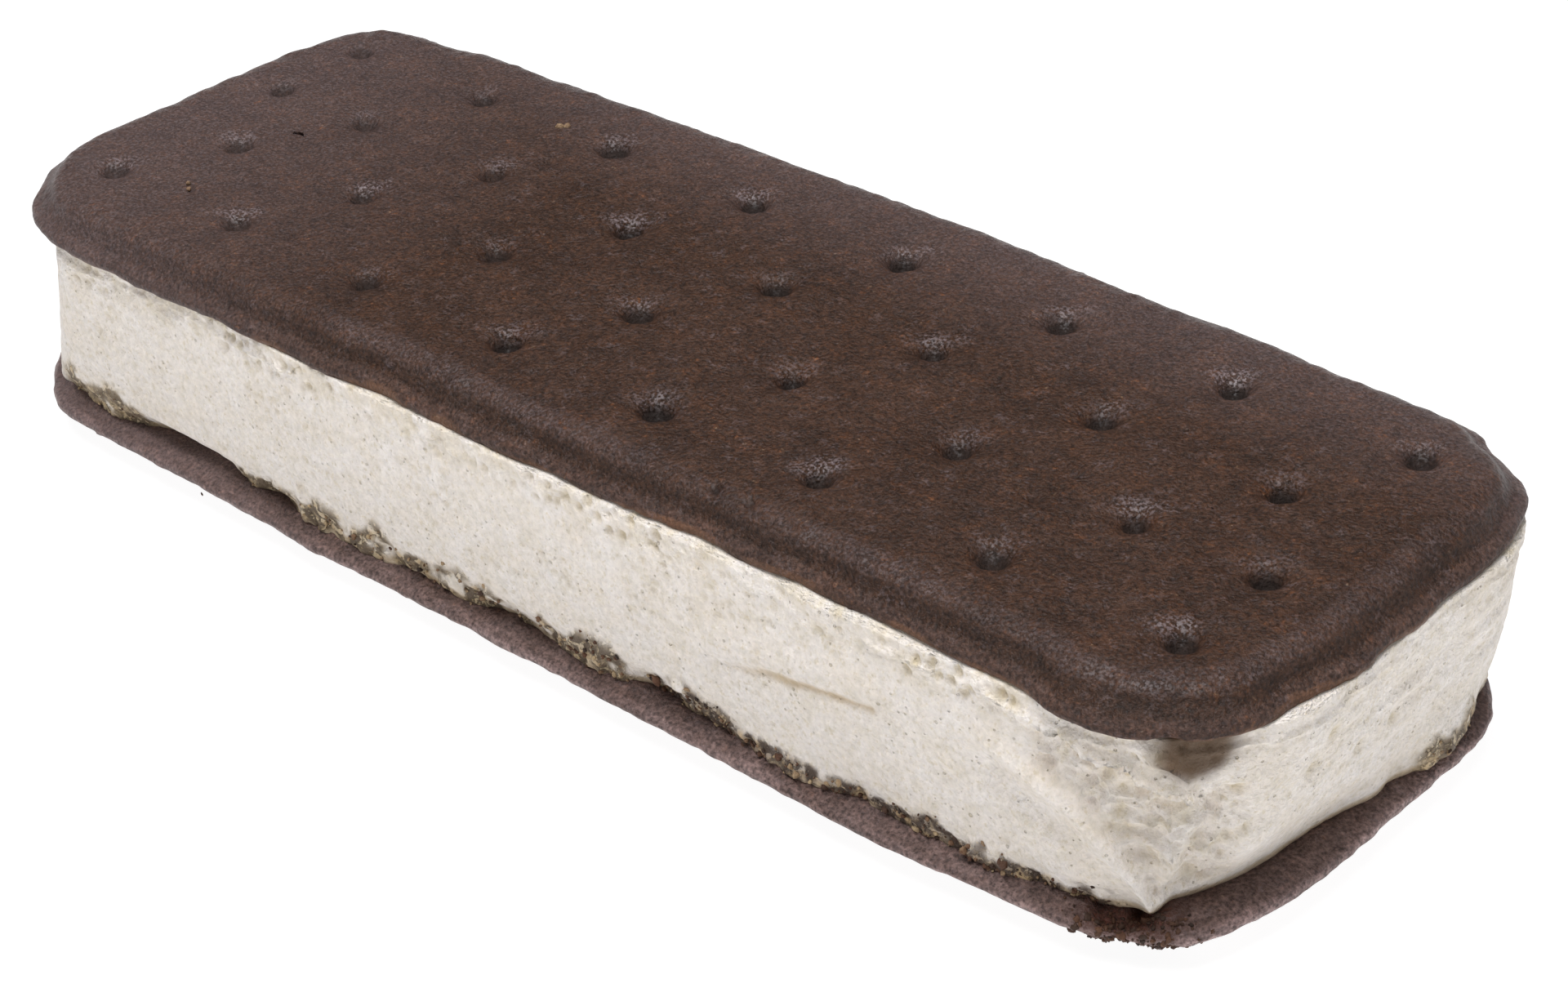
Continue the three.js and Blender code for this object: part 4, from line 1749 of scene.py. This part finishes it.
@dataclass(frozen=True)
class VanillaIceCream:
    """Off-white porous ice cream, stained in its pores, brown where crumb or cocoa clings.

    Attributes:
        soft: where the cream is warmer, and its pores more stained.
        crumbs: dark and tan crumbs in the crust.
        height_shade: heights in metres over which painted shading makes the cream lighter towards its
            top.
        baked_span: darkness over which the crust turns from light to baked.
        crumb_clouds: share of the crumbs that shows outside the clouds and in them.
        crumb_height: height of a crumb, which looks sunk in the crust.
        relief: depth of the bump, in metres.
        bleed: strength of the light that spreads inside, which makes the cream look soft.
    """

    name: str = "vanilla_ice_cream"
    cream: Colour = (0.95, 0.885, 0.84, 1)
    warm: Colour = (0.90, 0.815, 0.73, 1)
    olive: Colour = (0.62, 0.51, 0.30, 1)
    shade: Colour = (0.70, 0.63, 0.50, 1)
    # Tan of the painted shade along the crease and at the foot.
    fold: Colour = (0.52, 0.36, 0.17, 1)
    crust: Colour = (0.60, 0.47, 0.29, 1)
    baked: Colour = (0.19, 0.13, 0.098, 1)
    gilt: Colour = (0.68, 0.48, 0.25, 1)
    tan: Colour = (0.20, 0.145, 0.09, 1)
    cocoa: Colour = (0.06, 0.036, 0.026, 1)
    brown_patch: Colour = (0.135, 0.082, 0.046, 1)
    soft: Mottle = Mottle(330, 4)
    fine: Mottle = Mottle(2400, 3, 0.3, 0.7)
    clouds: Mottle = Mottle(850, 3, 0.5, 0.72)
    flecks: Mottle = Mottle(2600, 3, 0.55, 0.70)
    crumbs: Mottle = Mottle(1500, 4, 0.43, 0.50)
    pore_scale: float = 1500.0
    pore_size: float = 0.14
    cloud_share: float = 0.4
    fleck_share: float = 0.42
    stain_share: float = 0.62
    pore_soft: Span = (0.2, 1, 0.1, 0.5)
    fold_shade_share: float = 0.75
    fine_shade: Pair = (0.88, 1.07)
    height_shade: Span = (0.003, 0.017, 0.93, 1.05)
    baked_span: Span = (0.4, 0.9, 0, 0.85)
    crust_share: float = 0.85
    crumb_clouds: Pair = (1, 0.1)
    roughness: Pair = (0.45, 0.65)
    pore_depth: float = 1.4
    crumb_height: float = -2.5
    relief: float = 0.0001
    bleed: float = 0.06
    bleed_colour: Place = (1.0, 0.85, 0.6)
    bleed_reach: float = 0.0004

    def cream_colour(self, sheet: Sheet, pores: Socket) -> Socket:
        """The ice cream's colour: stained pores, painted shade by the crease and foot, painted lighter
        up top.
        """
        soft = sheet.mottle(self.soft)
        colour = sheet.blend(soft, self.cream, self.warm)
        colour = sheet.tint(colour, self.shade, sheet.mottle(self.clouds), self.cloud_share)
        colour = sheet.tint(colour, self.olive, sheet.mottle(self.flecks), self.fleck_share)
        stain = sheet.most(sheet.times(sheet.mask("stain"), self.stain_share),
                           sheet.times(pores, sheet.span(soft, *self.pore_soft)))
        colour = sheet.blend(stain, colour, self.olive)
        # Painted shade along the crease and at the foot.
        colour = sheet.tint(colour, self.fold, sheet.mask("fold"), self.fold_shade_share)
        colour = sheet.shade(colour, sheet.mottle(self.fine), *self.fine_shade)
        # Painted light and shade: darker towards the foot and lighter towards the top.
        painted_light_by_height = sheet.span(sheet.axis("Z"), *self.height_shade)
        return sheet.blend(1.0, colour, painted_light_by_height, "MULTIPLY")

    def crusted(self, sheet: Sheet, colour: Socket, crumbly: Socket) -> Socket:
        """Lays the crust with its crumbs on a colour."""
        dark = sheet.mask("crust_dark")
        golden = sheet.blend(sheet.span(dark, *self.baked_span), self.crust, self.baked)
        bits = sheet.most(sheet.mottle(self.flecks), sheet.mottle(self.clouds))
        golden = sheet.blend(bits, golden, self.gilt)
        colour = sheet.tint(colour, golden, sheet.mask("crust"), self.crust_share)
        return sheet.blend(crumbly, colour, sheet.blend(dark, self.tan, self.cocoa))

    def build(self, groups: SharedGroups) -> Material:
        """Writes the material."""
        sheet = Sheet(self.name, groups)
        pores, fine = sheet.pores(self.pore_scale, self.pore_size), sheet.mottle(self.fine)
        crumbly = sheet.times(sheet.times(sheet.mottle(self.crumbs), sheet.mask("crust")),
                              sheet.between(sheet.mottle(self.clouds), *self.crumb_clouds))
        colour = self.crusted(sheet, self.cream_colour(sheet, pores), crumbly)
        height = sheet.math("SUBTRACT", fine, sheet.times(pores, self.pore_depth))
        height = sheet.scaled(crumbly, self.crumb_height, height)
        sheet.feed({
            "Base Color": sheet.blend(sheet.mask("brown_patch"), colour, self.brown_patch),
            "Roughness": sheet.between(fine, *self.roughness),
            "Subsurface Weight": self.bleed,
            "Subsurface Radius": self.bleed_colour,
            "Subsurface Scale": self.bleed_reach,
            "Normal": sheet.bump(height, self.relief),
        })
        return sheet.material


@dataclass(frozen=True)
class LooseCrumb:
    """Crumb of wafer, from dark chocolate over rust to tan by its tone, rough and dull."""

    name: str = "loose_crumb"
    dark: Colour = (0.034, 0.018, 0.012, 1)
    rust: Colour = (0.14, 0.06, 0.03, 1)
    pale: Colour = (0.56, 0.42, 0.25, 1)
    grain: Mottle = Mottle(3500, 3, 0.25, 0.75)
    grain_tone: Pair = (0.7, 1.1)
    rust_span: Span = (0, 0.45, 0, 1)
    pale_span: Span = (0.4, 0.95, 0, 1)
    roughness: Pair = (0.85, 0.6)
    relief: float = 0.0001
    relief_share: float = 0.8

    def build(self, groups: SharedGroups) -> Material:
        """Writes the material."""
        sheet = Sheet(self.name, groups)
        grain = sheet.mottle(self.grain)
        tone = sheet.times(sheet.mask("tone"), sheet.between(grain, *self.grain_tone))
        colour = sheet.blend(sheet.span(tone, *self.rust_span), self.dark, self.rust)
        sheet.feed({
            "Base Color": sheet.blend(sheet.span(tone, *self.pale_span), colour, self.pale),
            "Roughness": sheet.between(grain, *self.roughness),
            "Normal": sheet.bump(grain, self.relief, self.relief_share),
        })
        return sheet.material


@dataclass(frozen=True)
class Lamp:
    """A square soft light, at a place in metres, aimed at the sandwich."""

    name: str
    place: Place
    size: float
    power: float
    aim: Place = (0, 0, 0.01)

    def build(self) -> None:
        """Adds the light."""
        data = bpy.data.lights.new(self.name, "AREA")
        data.shape = "SQUARE"
        data.size = self.size
        data.energy = self.power
        lamp = bpy.data.objects.new(self.name, data)
        turn = (Vector(self.aim) - Vector(self.place)).to_track_quat("-Z", "Y")
        lamp.matrix_world = Matrix.Translation(self.place) @ turn.to_matrix().to_4x4()
        bpy.context.scene.collection.objects.link(lamp)


@dataclass(frozen=True)
class Studio:
    """A pale floor, soft lights and the camera.

    Attributes:
        eye: the camera's place in millimetres.
        target: where it looks.
        roll: its turn about its own axis, in degrees.
        focal: its focal length in pixels of a frame `frame_width` wide.
        floor_reach: half the floor's width in millimetres.
        floor_glow: strength of its own light, by which it looks white.
    """

    eye: Place = (153.98, -150.32, 142.2)
    target: Place = (22.86, -16.42, 21.0)
    roll: float = -3.82
    focal: float = 4200.0
    frame_width: float = 1920.0
    sensor: float = 36.0
    clip: Pair = (0.01, 20)
    lamps: tuple[Lamp, ...] = (
        Lamp("overhead", (-0.02, -0.05, 0.6), 0.42, 4.1),
        Lamp("front_fill", (0.35, -0.9, 0.35), 0.8, 1.7),
        Lamp("right_fill", (0.85, 0.45, 0.3), 0.6, 1.0),
    )
    ambient: float = 0.10
    floor_reach: float = 3500
    floor_points: int = 9
    floor_drop: float = 0.02
    floor_grey: Colour = (0.16, 0.16, 0.16, 1)
    floor_rough: float = 0.9
    floor_glow: float = 0.93

    def camera(self) -> None:
        """Sets the camera: it looks from eye to target, rolled, with a centred frame."""
        data = bpy.data.cameras.new("camera")
        data.sensor_width = self.sensor
        data.lens = self.focal * self.sensor / self.frame_width
        data.clip_start, data.clip_end = self.clip
        camera = bpy.data.objects.new("camera", data)
        look = Vector(self.target) - Vector(self.eye)
        turned = look.to_track_quat("-Z", "Y").to_matrix().to_4x4()
        rolled = turned @ Matrix.Rotation(np.radians(self.roll), 4, "Z")
        camera.matrix_world = Matrix.Translation(Vector(self.eye) * MM) @ rolled
        bpy.context.scene.collection.objects.link(camera)
        bpy.context.scene.camera = camera

    def floor(self) -> None:
        """A wide flat pale floor under the sandwich."""
        span = np.linspace(-self.floor_reach, self.floor_reach, self.floor_points)
        x, y = np.meshgrid(span, span)
        points = np.stack([x, y, np.full(x.shape, -self.floor_drop)], axis=-1)
        size = self.floor_points
        row = np.arange(size - 1)[:, None] * size
        here = np.arange(size - 1)[None, :]
        quads = np.stack([row + here, row + here + 1, row + size + here + 1, row + size + here], -1)
        floor = make_object("floor", points, [quads.reshape(-1, 4)])
        material = bpy.data.materials.new("pale_floor")
        material.use_nodes = True
        inputs = material.node_tree.nodes["Principled BSDF"].inputs
        inputs["Base Color"].default_value = self.floor_grey
        inputs["Roughness"].default_value = self.floor_rough
        inputs["Emission Color"].default_value = (1, 1, 1, 1)
        inputs["Emission Strength"].default_value = self.floor_glow
        floor.data.materials.append(material)

    def build(self) -> None:
        """Sets the camera, the lights, the surroundings and the floor."""
        self.camera()
        for lamp in self.lamps:
            lamp.build()
        world = bpy.data.worlds.new("pale_room")
        world.use_nodes = True
        world.node_tree.nodes["Background"].inputs["Color"].default_value = (1, 1, 1, 1)
        world.node_tree.nodes["Background"].inputs["Strength"].default_value = self.ambient
        bpy.context.scene.world = world
        bpy.context.scene.view_settings.view_transform = "Standard"
        self.floor()


@dataclass
class Sandwich:
    """The whole sandwich: both wafers, the ice cream and the crumbs.

    Attributes:
        top_nicks: dents in the top wafer's edge on the hidden sides.
        top_edge: (run, inset) of its edge along the front and the +X end.
        bottom_edge: the same for the bottom wafer.
        torn: where the bottom wafer's edge has crumbled, in its own frame.
        top_bits: place, radius and tone of each loose crumb.
        pit_counts: pinholes scattered over the top wafer and over the bottom one.
        crumb_sizes: smallest radius of a crumb by the foot and by the torn edge.
        crumb_more: how much larger the largest ones are.
        dark_more: how much larger and darker they are by the foot where the crust is dark.
    """

    top_nicks: tuple[Dent, ...] = (
        Dent(-48.5, 19.5, 2.6, 0.6),
        Dent(-58, 12.5, 2.8, 0.5),
        Dent(-60.5, 6, 9, 0.9),
        Dent(53.5, 18, 2.4, 0.5),
    )
    rim_pits: tuple[Dent, ...] = (
        Dent(17.2, -18.0, 0.5, 0.5, 3.2),
        Dent(20.3, -17.9, 0.4, 0.4, 3.2),
    )
    top_edge: Line = (
        (-56, -0.1), (-49.9, -0.21), (-40.6, -0.12), (-37.5, -0.23), (-34.4, 0.1), (-31.2, 0.25),
        (-28.1, 0.12), (-25.1, 0.5), (-22.1, 0.55), (-19.1, 0.19), (-13, 1.11), (-10, 0.75),
        (-7, 0.92), (-0.9, 0.73), (2.1, 0.8), (11.3, 0.72), (17.4, 1.3), (20.5, 1), (23.6, 0.85),
        (26.6, 1.27), (29.7, 1.23), (39, 0.82), (45.2, 0.82), (48.3, -0.34), (54.4, -0.36),
        (57.5, 0.08), (60.5, -0.16), (66.7, 0.74), (69.8, 1.47), (72.9, 1), (75.9, 0.28),
        (79, 0.55), (82, 0.32), (85, 0.61), (88.1, 0.49), (91.1, 0.52),
    )
    bottom_edge: Line = (
        (-56, -0.45), (-50, -0.6), (-28, -0.57), (-19, -0.8), (-13, -0.72), (-8, -0.57), (5, -0.6),
        (12, -0.7), (20, -0.75), (24, -0.75), (27, -0.92), (30, -1.08), (39, -1.04), (42, -0.92),
        (45, -0.76), (48, -0.62), (51, -0.55), (54, -0.5), (57.5, -0.7), (60.5, -0.95),
        (63.6, -0.5), (66.7, 0.15), (70, 0.3), (73, 0.23), (76, 0.07), (79, -0.07), (83, -0.08),
        (88, 0), (95, -0.25),
    )
    torn: tuple[Dent, ...] = (
        Dent(-52.6, -19.5, 1.6, 1.1),
        Dent(-55.0, -18.1, 1.7, 1.1),
    )
    top_bits: tuple[tuple[Place, float, float], ...] = (
        ((-27.5, 12.7, 20.9), 0.38, 0.66),
        ((-27.0, 12.95, 20.9), 0.38, 0.62),
        ((-44.2, -11.4, 21.0), 0.2, 0.6),
        ((-43.4, -12.0, 21.0), 0.16, 0.55),
        ((54.4, -18.8, 17.95), 0.17, 1.0),
        ((56.1, -18.2, 17.9), 0.15, 1.0),
        ((-34.9, -21.5, 1.2), 0.13, 0.2),
    )
    pit_counts: tuple[int, int] = (70, 40)
    pit_area: Span = (-58, 58, -20, 19)
    pit_reach: Pair = (0.25, 0.5)
    pit_depth: Pair = (0.1, 0.3)
    pit_height: float = 3.3
    foot_crumb_count: int = 620
    torn_crumb_count: int = 300
    crumb_sizes: Pair = (0.07, 0.06)
    crumb_more: Pair = (0.14, 0.2)
    dark_more: float = 0.6
    foot_jitter: float = 0.08
    foot_tone: float = 0.9
    foot_tone_spread: float = 0.28
    torn_tones: Pair = (0.0, 0.42)
    seed: int = 5

    def random_pits(self, count: int) -> tuple[Dent, ...]:
        """Pinholes scattered over a wafer's face and rim."""
        rng = np.random.default_rng(self.seed)
        ranges = (self.pit_area[:2], self.pit_area[2:], self.pit_reach, self.pit_depth)
        draws = [rng.uniform(low, high, count) for low, high in ranges]
        return tuple(Dent(*row, z=self.pit_height) for row in zip(*draws))

    @staticmethod
    def pick(rng: np.random.Generator, chance: np.ndarray, count: int) -> np.ndarray:
        """Numbers of different points, drawn by the chance of each."""
        return rng.choice(len(chance), count, replace=False, p=chance / chance.sum())

    def foot_crumbs(self, surface: np.ndarray, masks: Masks, material: Material) -> None:
        """Crumbs along the ice cream's foot, thickest and darkest where its crust is.

        Args:
            surface: the ice cream's side.
            masks: its masks.
            material: the crumbs' material.
        """
        rng = np.random.default_rng(self.seed + 1)
        crust, dark = masks["crust"].ravel(), masks["crust_dark"].ravel()
        pick = self.pick(rng, crust * (0.2 + dark) ** 2, self.foot_crumb_count)
        dark = dark[pick]
        places = surface.reshape(-1, 3)[pick]
        places = places + rng.normal(scale=self.foot_jitter, size=places.shape)
        more = self.crumb_more[0] * rng.random(len(pick)) ** 2
        sizes = self.crumb_sizes[0] + more * (0.8 + self.dark_more * dark)
        tones = self.foot_tone - self.dark_more * dark
        tones = np.clip(tones + rng.normal(scale=self.foot_tone_spread, size=len(pick)), 0, 1)
        Crumbs("foot_crumbs", self.seed + 2).build(places, sizes, tones, material)

    def torn_crumbs(self, surface: np.ndarray, crumbled: np.ndarray, material: Material) -> None:
        """Crumbs that hang on where the bottom wafer's edge has crumbled.

        Args:
            surface: the bottom wafer's surface.
            crumbled: 1 where it has crumbled.
            material: the crumbs' material.
        """
        rng = np.random.default_rng(self.seed + 3)
        chance = np.where(surface[..., 1] < 0, crumbled, 0).ravel()
        pick = self.pick(rng, chance, self.torn_crumb_count)
        sizes = self.crumb_sizes[1] + self.crumb_more[1] * rng.random(len(pick)) ** 2
        tones = rng.uniform(*self.torn_tones, len(pick))
        Crumbs("torn_crumbs", self.seed + 4).build(surface.reshape(-1, 3)[pick], sizes, tones, material)

    def top_crumbs(self, material: Material) -> None:
        """A few crumbs that lie on the top wafer and hang at its near corner."""
        places, sizes, tones = (np.array(column) for column in zip(*self.top_bits))
        Crumbs("top_crumbs", self.seed + 5).build(places, sizes, tones, material)

    def build(self) -> None:
        """Builds and dresses every piece."""
        groups = SharedGroups()
        chocolate = ChocolateWafer().build(groups)
        vanilla = VanillaIceCream().build(groups)
        crumb = LooseCrumb().build(groups)
        top_pits, bottom_pits = (self.random_pits(count) for count in self.pit_counts)
        top_pits = self.rim_pits + top_pits
        Wafer(WaferSide.TOP, self.top_nicks, self.top_edge, (), top_pits).build(chocolate)
        bottom = Wafer(WaferSide.BOTTOM, (), self.bottom_edge, self.torn, bottom_pits)
        torn_surface, crumbled = bottom.build(chocolate)
        surface, masks = IceCream().build(vanilla)
        self.foot_crumbs(surface, masks, crumb)
        self.torn_crumbs(torn_surface, crumbled, crumb)
        self.top_crumbs(crumb)


def main() -> None:
    """Builds the studio and the sandwich."""
    logging.basicConfig(level=logging.INFO)
    Studio().build()
    Sandwich().build()


if __name__ == "__main__":
    main()
